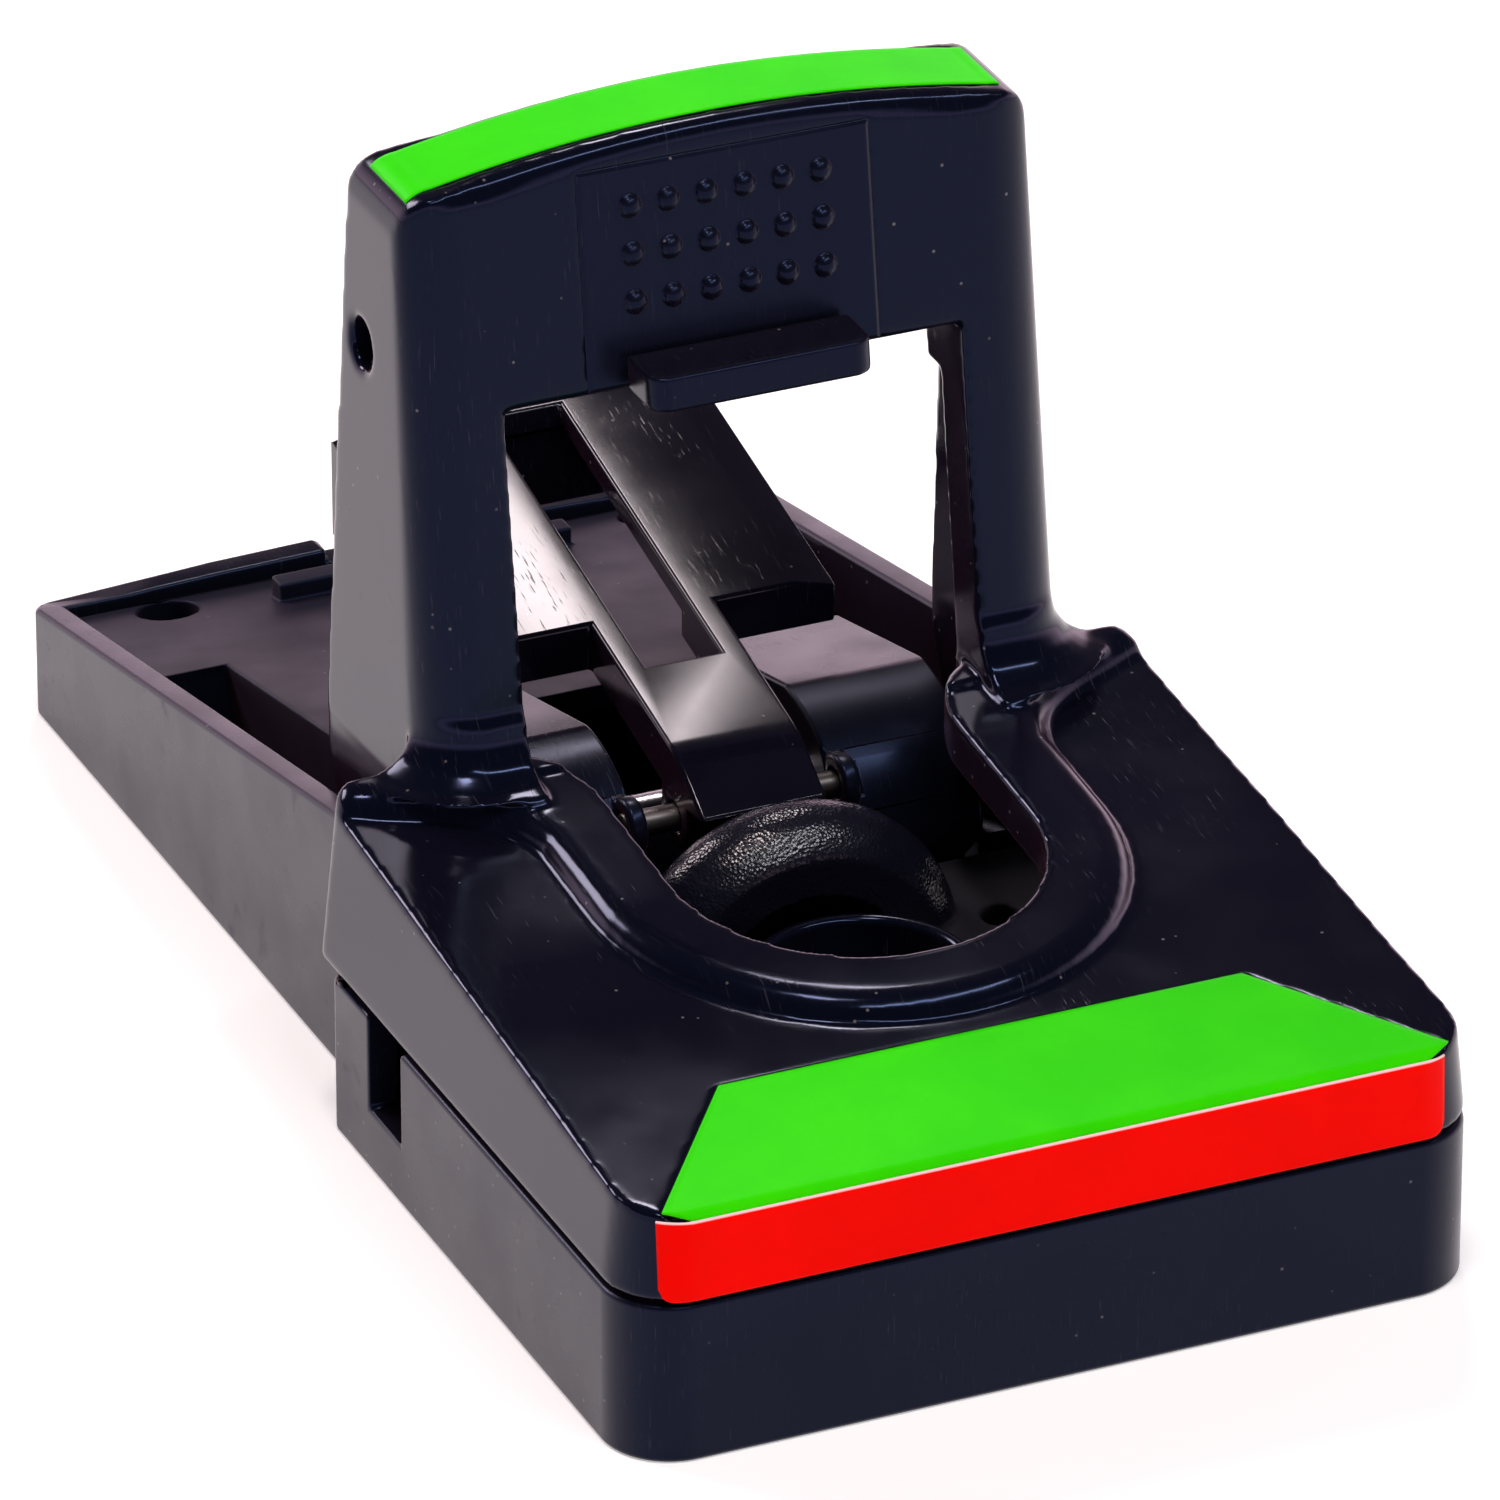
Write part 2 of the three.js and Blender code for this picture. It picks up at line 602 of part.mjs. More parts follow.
function pedalProfile(inset, bottom) {
  const front = inset;
  const radius = PEDAL_NOSE_RADIUS;
  const shape = new THREE.Shape();
  const rear = PEDAL_REAR - inset;
  shape.moveTo(front, bottom);
  shape.lineTo(rear, bottom);
  shape.lineTo(rear, pedalTop(rear) - inset);
  shape.lineTo(front + radius, pedalTop(front + radius) - inset);
  shape.absarc(front + radius, pedalTop(front + radius) - inset - radius, radius, Math.PI / 2, Math.PI, false);
  return shape;
}

function pedalShell() {
  const outer = drafted(slab(
    roundedBlockOutline(halfWidth, 0, PEDAL_REAR, BOX_CORNER, TRAY_CORNER), pedalBottom, FRAME_ROOT + 4,
  ));
  const inner = drafted(slab(
    roundedBlockOutline(
      halfWidth - PEDAL_WALL, PEDAL_WALL, PEDAL_REAR - PEDAL_WALL, BOX_CORNER - PEDAL_WALL, CRISP,
    ),
    pedalBottom - PROUD, FRAME_ROOT,
  ));
  const outerRoof = toSolid(alongX(pedalProfile(0, pedalBottom), -halfWidth, halfWidth));
  const innerRoof = toSolid(alongX(pedalProfile(PEDAL_WALL, pedalBottom - PROUD), -halfWidth, halfWidth));
  const plan = toSolid(outer);
  const plateau = raisedBand().intersect(plan);
  return plan.intersect(outerRoof).add(plateau)
    .subtract(toSolid(inner).intersect(innerRoof));
}

// the flat raised band round the mouth, spreading to a shelf that carries the frame
function raisedBand() {
  const side = halfWidth - PEDAL_DRAFT * (pedalTop(PEDAL_REAR) - pedalBottom);
  const rear = PEDAL_REAR + 2 * BAND_FLANK;
  const straightEnd = MOUTH_CENTRE_Y + BAND_STRAIGHT;
  const sweepDepth = PEDAL_REAR - BAND_FLANK - straightEnd;
  const sweepWidth = side - BAND_OUTER;
  const curve = (sign) => BAND_FLARE.map(([across, along]) => new THREE.Vector2(
    sign * (BAND_OUTER + across * sweepWidth), straightEnd + along * sweepDepth,
  ));
  const ease = (sign) => [straightEnd - BAND_EASE, straightEnd].map(
    (y) => new THREE.Vector2(sign * BAND_OUTER, y),
  );
  const beyond = side + 2 * BAND_FLANK;
  const flareEnd = curve(1)[BAND_FLARE.length - 1].y;
  const beyondY = flareEnd + BAND_FLANK;
  const shape = new THREE.Shape();
  shape.moveTo(beyond, beyondY);
  shape.lineTo(beyond, rear + BAND_FLANK);
  shape.lineTo(-beyond, rear + BAND_FLANK);
  shape.lineTo(-beyond, beyondY);
  shape.lineTo(-side, flareEnd);
  shape.splineThru([...curve(-1).reverse().slice(1), ...ease(-1).reverse()]);
  shape.lineTo(-BAND_OUTER, MOUTH_CENTRE_Y);
  shape.absarc(0, MOUTH_CENTRE_Y, BAND_OUTER, Math.PI, 2 * Math.PI, false);
  shape.lineTo(BAND_OUTER, straightEnd - BAND_EASE);
  shape.splineThru([...ease(1).slice(1), ...curve(1)]);
  const root = PEDAL_WALL / 2;
  const geometry = new THREE.ExtrudeGeometry(shape, {
    depth: root,
    bevelEnabled: true,
    bevelThickness: BAND_HEIGHT,
    bevelSize: BAND_FLANK,
    bevelOffset: -BAND_FLANK,
    bevelSegments: BAND_FLANK_STEPS,
    curveSegments: 16,
  });
  const sloped = moved(geometry.translate(0, 0, -root), (point) => {
    point.z += pedalTop(point.y);
  });
  const underside = toSolid(alongX([
    [-PROUD, pedalTop(-PROUD) - root],
    [rear + PROUD, pedalTop(rear + PROUD) - root],
    [rear + PROUD, pedalTop(rear) + FRAME_ROOT],
    [-PROUD, pedalTop(rear) + FRAME_ROOT],
  ], -halfWidth, halfWidth));
  return toSolid(sloped).intersect(underside).intersect(betweenRoundedSides(side, root, rear));
}

// a slab along the pedal's slope, its long upper edges rounded like the band's flank
function betweenRoundedSides(side, root, rear) {
  const half = [[side, -2 * root]];
  for (let i = 0; i <= BAND_FLANK_STEPS; i += 1) {
    const angle = (Math.PI / 2) * (i / BAND_FLANK_STEPS);
    half.push([side - BAND_FLANK * (1 - Math.cos(angle)), (BAND_HEIGHT + SLIVER) * Math.sin(angle)]);
  }
  const left = half.slice().reverse().map(([x, z]) => [-x, z]);
  return toSolid(moved(alongY([...half, ...left], -PROUD, rear + PROUD), (point) => {
    point.z += pedalTop(point.y);
  }));
}

function mouth() {
  const shape = new THREE.Shape();
  const widenFrom = MOUTH_CENTRE_Y + MOUTH_STRAIGHT;
  const widenTo = PEDAL_REAR - PEDAL_WALL / 2;
  const pull = (widenTo - widenFrom) * MOUTH_PULL;
  shape.moveTo(MOUTH_REAR_X, widenTo);
  shape.lineTo(MOUTH_REAR_X, FRAME_REAR_BASE);
  shape.lineTo(-MOUTH_REAR_X, FRAME_REAR_BASE);
  shape.lineTo(-MOUTH_REAR_X, widenTo);
  shape.quadraticCurveTo(-MOUTH_RADIUS, widenFrom + pull, -MOUTH_RADIUS, widenFrom);
  shape.lineTo(-MOUTH_RADIUS, MOUTH_CENTRE_Y);
  shape.absarc(0, MOUTH_CENTRE_Y, MOUTH_RADIUS, Math.PI, 2 * Math.PI, false);
  shape.lineTo(MOUTH_RADIUS, widenFrom);
  shape.quadraticCurveTo(MOUTH_RADIUS, widenFrom + pull, MOUTH_REAR_X, widenTo);
  return toSolid(slab(shape, 0, FRAME_ROOT + 1, 20));
}

// plan outlines drawn at the frame's root, leaned and tapered up to its top
function leaned(geometry) {
  const depth = FRAME_REAR_BASE - FRAME_FRONT_BASE;
  return moved(geometry, (point) => {
    const share = (point.y - FRAME_FRONT_BASE) / depth;
    point.y = frameFront(point.z) + share * (frameRear(point.z) - frameFront(point.z));
    point.x *= frameHalf(point.z) / frameHalfBase;
  });
}

function crownLine(x) {
  return FRAME_TOP - (x * x) / (2 * CROWN_RADIUS);
}

// everything below the arched crown, whose ends are rounded
function underCrown(drop) {
  const reach = frameHalfTop - CROWN_SHOULDER;
  const points = [[halfWidth, 0], [halfWidth, crownLine(reach) - CROWN_SHOULDER - drop]];
  for (let i = 0; i <= 4; i += 1) {
    const angle = (Math.PI / 2) * (i / 4);
    points.push([
      reach - drop + CROWN_SHOULDER * Math.cos(angle),
      crownLine(reach) - drop - CROWN_SHOULDER + CROWN_SHOULDER * Math.sin(angle),
    ]);
  }
  for (let i = 1; i <= CROWN_STEPS; i += 1) {
    const x = (reach - drop) * (1 - i / CROWN_STEPS);
    points.push([x, crownLine(x) - drop]);
  }
  const left = points.slice(0, -1).reverse().map(([x, z]) => [-x, z]);
  return toSolid(alongY([...points, ...left], 0, TOTAL_LENGTH));
}

// rounds the crown's front and rear edges, following its arch
function roundedRoof() {
  const frontY = frameFront(FRAME_TOP - CROWN_FRONT_ROUND);
  const rearY = frameRear(FRAME_TOP - CROWN_REAR_ROUND);
  const shape = new THREE.Shape();
  shape.moveTo(0, 0);
  shape.lineTo(TOTAL_LENGTH, 0);
  shape.lineTo(TOTAL_LENGTH, FRAME_TOP - CROWN_REAR_ROUND);
  shape.lineTo(rearY, FRAME_TOP - CROWN_REAR_ROUND);
  shape.absarc(rearY - CROWN_REAR_ROUND, FRAME_TOP - CROWN_REAR_ROUND, CROWN_REAR_ROUND, 0, Math.PI / 2, false);
  shape.lineTo(frontY + CROWN_FRONT_ROUND, FRAME_TOP);
  shape.absarc(frontY + CROWN_FRONT_ROUND, FRAME_TOP - CROWN_FRONT_ROUND, CROWN_FRONT_ROUND,
    Math.PI / 2, Math.PI, false);
  shape.lineTo(0, FRAME_TOP - CROWN_FRONT_ROUND);
  const reach = frameHalfTop - CROWN_SHOULDER;
  const steps = 2 * CROWN_STEPS;
  return toSolid(moved(alongX(shape, -reach, reach, steps), (point) => {
    const drop = FRAME_TOP - crownLine(point.x);
    point.z -= drop;
    if (Math.abs(point.x) > reach - SLIVER) {
      point.x = Math.sign(point.x) * halfWidth;
    }
  }));
}

function uprightFrame() {
  const low = FRAME_ROOT - 2;
  const outerPlan = roundedBlockOutline(
    frameHalfBase, FRAME_FRONT_BASE, FRAME_REAR_BASE, FRAME_CORNER, CRISP,
  );
  const innerPlan = roundedBlockOutline(
    frameHalfBase - FRAME_WALL, FRAME_FRONT_BASE + FRAME_WALL, FRAME_REAR_BASE + PROUD,
    FRAME_CORNER - FRAME_WALL, CRISP,
  );
  const outer = toSolid(leaned(slab(outerPlan, low, FRAME_TOP + PROUD)))
    .intersect(underCrown(0))
    .intersect(roundedRoof());
  const inner = toSolid(leaned(slab(innerPlan, low - PROUD, FRAME_TOP))).intersect(underCrown(FRAME_WALL));
  const window = block(-WINDOW_HALF, WINDOW_HALF, 0, TOTAL_LENGTH, pedalTop(PEDAL_REAR) + BAND_HEIGHT, WINDOW_TOP);
  const sideHole = rodX(SIDE_HOLE_Y, SIDE_HOLE_Z, SIDE_HOLE_RADIUS, -halfWidth, halfWidth, 20);
  return outer.subtract(inner).subtract(window)
    .add(frameLips())
    .subtract(sideHole);
}

function lip(z0, z1, depth, x0, x1) {
  return toSolid(alongX([
    [frameFront(z0) + FRAME_WALL / 2, z0],
    [frameFront(z0) + depth, z0],
    [frameFront(z1) + depth, z1],
    [frameFront(z1) + FRAME_WALL / 2, z1],
  ], x0, x1));
}

function frameLips() {
  const inner = WINDOW_HALF;
  const outer = WINDOW_HALF + FRAME_WALL - GAP;
  const legLip = lip(FRAME_ROOT, WINDOW_TOP + FRAME_WALL, LIP_DEPTH, inner, outer);
  const gusset = lip(WINDOW_TOP - GUSSET_HEIGHT, WINDOW_TOP + FRAME_WALL, GUSSET_DEPTH, inner, outer);
  const barLip = lip(WINDOW_TOP, WINDOW_TOP + FRAME_WALL, LIP_DEPTH, -outer, outer);
  return join([bothSides(legLip), bothSides(gusset), barLip]);
}

// the side cheek that drops beside the spring cover and turns on the axle
function cheek() {
  const inner = frameHalfBase - FRAME_WALL;
  const top = FRAME_ROOT - 1;
  const shape = new THREE.Shape();
  shape.moveTo(PEDAL_REAR - PEDAL_WALL / 2, top);
  shape.lineTo(PEDAL_REAR - PEDAL_WALL / 2, AXLE_Z + CHEEK_RADIUS / 2);
  shape.lineTo(AXLE_Y - CHEEK_RADIUS, AXLE_Z);
  shape.absarc(AXLE_Y, AXLE_Z, CHEEK_RADIUS, Math.PI, 2 * Math.PI, false);
  shape.lineTo(FRAME_REAR_BASE, AXLE_Z + CHEEK_RADIUS);
  shape.lineTo(FRAME_REAR_BASE, top);
  const bore = rodX(AXLE_Y, AXLE_Z, AXLE_RADIUS + RUNNING, inner - PROUD, frameHalfBase + PROUD);
  return toSolid(alongX(shape, inner, frameHalfBase)).subtract(bore);
}

// concave fillet where a leg rises from the shelf: a straight run in front of it, and a ring
// round its corner as far as the pedal's rear face
function rootFillet() {
  const base = pedalTop(PEDAL_REAR) + BAND_HEIGHT - OVERLAP;
  const sink = FRAME_WALL / 2;
  const steps = 4;
  const cornerX = frameHalfBase - FRAME_CORNER;
  const cornerY = FRAME_FRONT_BASE + FRAME_CORNER;
  const profile = [];
  for (let i = 0; i <= steps; i += 1) {
    const angle = (Math.PI / 2) * (i / steps);
    profile.push([
      FRAME_CORNER + ROOT_FILLET * (1 - Math.sin(angle)) - OVERLAP,
      base + ROOT_FILLET * (1 - Math.cos(angle)),
    ]);
  }
  const front = toSolid(alongX([
    [cornerY, base + ROOT_FILLET],
    ...profile.map(([out, z]) => [cornerY - out, z]).reverse(),
    [cornerY, base - sink],
  ], WINDOW_HALF, cornerX));
  const ring = new THREE.LatheGeometry([
    new THREE.Vector2(0, base - sink),
    ...profile.map(([out, z]) => new THREE.Vector2(out, z)),
    new THREE.Vector2(0, base + ROOT_FILLET),
  ], 32).rotateX(Math.PI / 2).translate(cornerX, cornerY, 0);
  const keep = block(cornerX - SLIVER, halfWidth, FRAME_FRONT_BASE - 2 * ROOT_FILLET, PEDAL_REAR, 0, FRAME_TOP);
  return front.add(toSolid(ring).intersect(keep));
}

function jawLever() {
  const legRoom = frameHalfBase - FRAME_WALL;
  const rearCut = block(-legRoom, legRoom, PEDAL_REAR - 2 * PEDAL_WALL, PEDAL_REAR + PROUD, 0,
    pedalTop(PEDAL_REAR) - PEDAL_WALL);
  const legSpace = toSolid(leaned(slab(roundedBlockOutline(
    frameHalfBase - FRAME_WALL, FRAME_FRONT_BASE + FRAME_WALL, FRAME_REAR_BASE + PROUD,
    FRAME_CORNER - FRAME_WALL, CRISP,
  ), pedalTop(PEDAL_REAR) + BAND_HEIGHT, FRAME_TOP))).intersect(underCrown(FRAME_WALL));
  const fillets = bothSides(rootFillet()).subtract(legSpace);
  return pedalShell()
    .subtract(rearCut)
    .add(uprightFrame())
    .add(fillets)
    .add(bothSides(cheek()))
    .subtract(mouth())
    .subtract(labelRecesses())
    .subtract(padRecess());
}

// ---- grip pad and finger ledge ------------------------------------------------------------

function onFrameFront(solidGeometry) {
  return moved(solidGeometry, (point) => {
    point.y += frameFront(point.z);
  });
}

function padPlate(margin, y0, y1) {
  const half = PAD_HALF + margin;
  return toSolid(onFrameFront(alongY([
    [-half, PAD_BOTTOM - margin],
    [half, PAD_BOTTOM - margin],
    [half, PAD_TOP + margin],
    [-half, PAD_TOP + margin],
  ], y0, y1)));
}

function padRecess() {
  return padPlate(GAP, -PROUD, PAD_THICK);
}

function gripPad() {
  const face = GAP - PAD_THICK;
  const bumps = [];
  for (let row = 0; row < BUMP_ROWS; row += 1) {
    for (let column = 0; column < BUMP_COLUMNS; column += 1) {
      const x = (column - (BUMP_COLUMNS - 1) / 2) * BUMP_PITCH_X;
      const z = BUMP_FIRST_Z + row * BUMP_PITCH_Z;
      const ball = new THREE.SphereGeometry(BUMP_RADIUS, 8, 6);
      bumps.push(toSolid(ball.translate(x, frameFront(z) + face, z)));
    }
  }
  return padPlate(0, face, GAP).add(join(bumps));
}

function fingerLedge() {
  const root = GAP - PAD_THICK - GAP;
  const shape = new THREE.Shape();
  const corner = LEDGE_CORNER;
  shape.moveTo(LEDGE_HALF, root);
  shape.lineTo(-LEDGE_HALF, root);
  shape.lineTo(-LEDGE_HALF, -LEDGE_REACH + corner);
  shape.absarc(-LEDGE_HALF + corner, -LEDGE_REACH + corner, corner, Math.PI, 1.5 * Math.PI, false);
  shape.lineTo(LEDGE_HALF - corner, -LEDGE_REACH);
  shape.absarc(LEDGE_HALF - corner, -LEDGE_REACH + corner, corner, -Math.PI / 2, 0, false);
  return toSolid(onFrameFront(slab(shape, LEDGE_TOP - LEDGE_THICK, LEDGE_TOP)));
}

// ---- labels -------------------------------------------------------------------------------

function pedalLabelPlate(margin, z0, z1) {
  const front = PEDAL_NOSE_RADIUS - margin;
  return toSolid(moved(slab(outline([
    [-LABEL_HALF - margin, front],
    [LABEL_HALF + margin, front],
    [LABEL_NARROW_HALF + margin, LABEL_DEPTH + margin],
    [-LABEL_NARROW_HALF - margin, LABEL_DEPTH + margin],
  ]), z0, z1), (point) => {
    point.z += pedalTop(point.y);
  }));
}

function frontLabelPlate(margin, y0, y1) {
  const top = pedalTop(0) - PEDAL_NOSE_RADIUS;
  const half = halfWidth - BOX_CORNER + GAP;
  return block(-half - margin, half + margin, y0, y1, BAND_LABEL_BOTTOM - margin, top);
}

function topLabelPlate(margin, sink, rise) {
  const half = TOP_LABEL_HALF - CROWN_SHOULDER / 2 + margin;
  const rear = topLabelFront + TOP_LABEL_DEPTH;
  const plan = block(-half, half, topLabelFront - margin, rear + margin, WINDOW_TOP, FRAME_TOP + 1);
  return plan.intersect(underCrown(-rise)).subtract(underCrown(sink));
}

function labelRecesses() {
  const sink = LABEL_THICK + GAP;
  return join([
    pedalLabelPlate(GAP, -sink, PROUD),
    frontLabelPlate(GAP, -PROUD, sink),
    topLabelPlate(GAP, sink, PROUD),
  ]);
}

// ---- treadle, catch and their pins --------------------------------------------------------

function treadle() {
  const bendSlope = (TREADLE_BEND_Z - TREADLE_NOSE_Z) / (TREADLE_BEND_Y - TREADLE_NOSE_Y);
  const side = [
    [TREADLE_NOSE_Y, TREADLE_NOSE_Z - TREADLE_NOSE_EDGE],
    [TREADLE_BEND_Y, TREADLE_BEND_Z - TREADLE_THICK],
    [TREADLE_REAR, treadleTop(TREADLE_REAR) - TREADLE_THICK],
    [TREADLE_REAR, treadleTop(TREADLE_REAR)],
    [TREADLE_BEND_Y + TREADLE_BEND_ROUND, treadleTop(TREADLE_BEND_Y + TREADLE_BEND_ROUND)],
    [TREADLE_BEND_Y, TREADLE_BEND_Z - TREADLE_BEND_ROUND / 10],
    [TREADLE_BEND_Y - TREADLE_BEND_ROUND, TREADLE_BEND_Z - bendSlope * TREADLE_BEND_ROUND],
    [TREADLE_NOSE_Y, TREADLE_NOSE_Z],
  ];
  const tongue = toSolid(alongX(side, -TREADLE_TONGUE_HALF, TREADLE_TONGUE_HALF));
  const deckShape = (half, drop) => [
    [-half, -TREADLE_THICK + drop],
    [half, -TREADLE_THICK + drop],
    [half, -TREADLE_BEVEL_DROP + drop / 2],
    [half - TREADLE_BEVEL, 0],
    [-half + TREADLE_BEVEL, 0],
    [-half, -TREADLE_BEVEL_DROP + drop / 2],
  ];
  const wide = toSolid(moved(alongY(deckShape(TREADLE_HALF, 0), TREADLE_WIDE_START, TREADLE_REAR), (point) => {
    point.z += treadleTop(point.y);
  }));
  const hollowHalf = TREADLE_HALF - TREADLE_SKIN;
  const hollow = toSolid(moved(slab(outline([
    [-hollowHalf, TREADLE_WIDE_START + TREADLE_SKIN],
    [hollowHalf, TREADLE_WIDE_START + TREADLE_SKIN],
    [hollowHalf, TREADLE_REAR - TREADLE_SKIN],
    [-hollowHalf, TREADLE_REAR - TREADLE_SKIN],
  ]), -TREADLE_THICK - PROUD, -TREADLE_SKIN), (point) => {
    point.z += treadleTop(point.y);
  }));
  const slot = block(-TREADLE_SLOT_HALF, TREADLE_SLOT_HALF, TREADLE_SLOT_START, TREADLE_SLOT_END, 0, FRAME_TOP);
  const rearTop = treadleTop(TREADLE_REAR);
  const rearSkirt = block(-TREADLE_HALF, TREADLE_HALF, TREADLE_REAR - TREADLE_SKIN, TREADLE_REAR,
    rearTop - TREADLE_REAR_DEPTH, rearTop - TREADLE_THICK / 2);
  return tongue.add(wide).subtract(hollow).add(rearSkirt).subtract(slot).add(treadleLugs());
}

function treadleLugs() {
  const inner = TREADLE_TONGUE_HALF - TREADLE_LUG_WIDTH;
  const lug = rodX(TREADLE_PIN_Y, TREADLE_PIN_Z, TREADLE_LUG_RADIUS, inner, TREADLE_TONGUE_HALF)
    .add(block(inner, TREADLE_TONGUE_HALF, TREADLE_PIN_Y - TREADLE_LUG_RADIUS, TREADLE_PIN_Y + TREADLE_LUG_RADIUS,
      TREADLE_PIN_Z, treadleTop(TREADLE_PIN_Y) - TREADLE_THICK / 2));
  const bore = rodX(TREADLE_PIN_Y, TREADLE_PIN_Z, PIN_RADIUS + RUNNING, inner - PROUD, TREADLE_TONGUE_HALF + PROUD);
  return bothSides(lug.subtract(bore));
}

function catchYoke() {
  const hub = rodX(CATCH_PIN_Y, CATCH_PIN_Z, CATCH_HUB, -CATCH_HALF, CATCH_HALF);
  const bore = rodX(CATCH_PIN_Y, CATCH_PIN_Z, CATCH_PIN_RADIUS + RUNNING, -CATCH_HALF - PROUD, CATCH_HALF + PROUD);
  const half = CATCH_ARM_THICK / 2;
  const toe = block(-CATCH_TOE_HALF, CATCH_TOE_HALF, CATCH_PIN_Y - half, CATCH_PIN_Y + half, CATCH_PIN_Z, CATCH_TOE_TOP);
  const arm = block(CATCH_HALF - CATCH_ARM_THICK, CATCH_HALF, CATCH_PIN_Y - half, CATCH_PIN_Y + half,
    CATCH_PIN_Z, CATCH_ARM_TOP);
  const hook = block(CATCH_HALF - CATCH_ARM_THICK, CATCH_HALF, CATCH_PIN_Y - half, CATCH_PIN_Y + CATCH_HUB,
    CATCH_ARM_TOP - CATCH_ARM_THICK, CATCH_ARM_TOP);
  return join([hub, toe, bothSides(arm), bothSides(hook)]).subtract(bore);
}

// ---- bait cup and hood --------------------------------------------------------------------

function baitCup() {
  const bottom = (TUB_FLOOR - CUP_FOOT_THICK) / 2;
  const floor = bottom + CUP_FOOT_THICK;
  const profile = [
    [0, bottom],
    [CUP_FOOT_RADIUS, bottom],
    [CUP_FOOT_RADIUS, floor],
    [CUP_RADIUS, floor],
    [CUP_RADIUS, CUP_TOP],
    [CUP_RADIUS - CUP_WALL, CUP_TOP],
    [CUP_RADIUS - CUP_WALL, floor + CUP_WALL],
    [0, floor + CUP_WALL],
  ].map(([radius, z]) => new THREE.Vector2(radius, z));
  const body = toSolid(new THREE.LatheGeometry(profile, 32).rotateX(Math.PI / 2).translate(0, CUP_Y, 0));
  const half = CUP_FOOT_RADIUS - CUP_WALL;
  const coinSlot = block(-half, half, CUP_Y - CUP_GRIP_WIDTH / 2, CUP_Y + CUP_GRIP_WIDTH / 2,
    -PROUD, bottom + CUP_FOOT_THICK / 2);
  return body.subtract(coinSlot);
}

function hoodBody(inset) {
  const foot = TUB_FLOOR + GAP - (inset > 0 ? PROUD : 0);
  const dome = new THREE.SphereGeometry(1, 28, 20);
  dome.rotateX(Math.PI / 2);
  dome.scale(HOOD_HALF_X - inset, HOOD_HALF_Y - inset, HOOD_HALF_Z - inset);
  dome.translate(0, HOOD_CENTRE_Y, HOOD_CENTRE_Z);
  const skirt = new THREE.CylinderGeometry(1, 1, HOOD_CENTRE_Z - foot, 28);
  skirt.rotateX(Math.PI / 2);
  skirt.scale(HOOD_HALF_X - inset, HOOD_HALF_Y - inset, 1);
  skirt.translate(0, HOOD_CENTRE_Y, (HOOD_CENTRE_Z + foot) / 2);
  const keep = block(-halfWidth, halfWidth, HOOD_FACE_Y - (inset > 0 ? PROUD : 0), TOTAL_LENGTH, foot, FRAME_TOP);
  return toSolid(dome).add(toSolid(skirt)).intersect(keep);
}

// the dome stands on a plate inside the front box, which also guides the cup
function baitHood() {
  const foot = TUB_FLOOR + GAP;
  const ringTop = foot + 2 * CUP_FOOT_THICK;
  const inner = CUP_RADIUS + GAP;
  const plateHalf = halfWidth - PLATE_MARGIN;
  const ring = rodZ(0, CUP_Y, CUP_FOOT_RADIUS, foot, PLATE_TOP - PLATE_THICK / 2, 32);
  const foundation = hoodBody(0).intersect(block(-halfWidth, halfWidth, 0, TOTAL_LENGTH, foot, ringTop));
  const plate = block(-plateHalf, plateHalf, PLATE_FRONT, PLATE_REAR, PLATE_TOP - PLATE_THICK, PLATE_TOP);
  const hole = rodZ(PLATE_HOLE_X, PLATE_HOLE_Y, PLATE_HOLE_RADIUS, foot, PLATE_TOP + PROUD, 20);
  const cupRoom = rodZ(0, CUP_Y, inner, foot - PROUD, CUP_TOP + GAP, 32);
  return join([hoodBody(0), plate.subtract(bothSides(hole)), ring])
    .subtract(hoodBody(HOOD_WALL))
    .add(foundation)
    .subtract(cupRoom);
}

// ---- the assembly -------------------------------------------------------------------------

const springPoints = springPath();
console.log(`least gap between spring curls: ${leastSpringGap(springPoints).toFixed(2)} mm`);

const springSolid = toSolid(sweep(springPoints, SPRING_WIRE / 2, 5));
const coverSolid = springCover();
const clipSolid = axleClip();

const trap = new THREE.Group();
trap.position.y = -TOTAL_LENGTH / 2;

trap.add(
  toMesh('base_tub', baseTub(), black),
  toMesh('tray_deck', trayDeck(), black),
  toMesh('spring_cover_right', coverSolid, black),
  toMesh('spring_cover_left', mirrored(coverSolid), black),
  toMesh('bait_hood', baitHood(), blackTextured),
  toMesh('bait_cup', baitCup(), black),
  toMesh('main_axle', rodX(AXLE_Y, AXLE_Z, AXLE_RADIUS, -axleHalf, axleHalf), steel),
  toMesh('axle_clip_right', clipSolid, steel),
  toMesh('axle_clip_left', mirrored(clipSolid), steel),
  toMesh('jaw_spring_right', springSolid, steel),
  toMesh('jaw_spring_left', mirrored(springSolid), steel),
  toMesh('jaw_lever', jawLever(), black),
  toMesh('grip_pad', gripPad(), black),
  toMesh('finger_ledge', fingerLedge(), black),
  toMesh('top_label', topLabelPlate(0, LABEL_THICK, 0), vinylGreen),
  toMesh('pedal_label', pedalLabelPlate(0, -LABEL_THICK, 0), vinylGreen),
  toMesh('front_label', frontLabelPlate(0, 0, LABEL_THICK), vinylRed),
  toMesh('treadle', treadle(), black),
  toMesh('treadle_pin', rodX(TREADLE_PIN_Y, TREADLE_PIN_Z, PIN_RADIUS, -COVER_INNER_X - COVER_WALL,
    COVER_INNER_X + COVER_WALL), steel),
  toMesh('catch_yoke', catchYoke(), black),
  toMesh('catch_pin', rodX(CATCH_PIN_Y, CATCH_PIN_Z, CATCH_PIN_RADIUS, -CATCH_HALF - CATCH_ARM_THICK,
    CATCH_HALF + CATCH_ARM_THICK), steel),
);

export default trap;
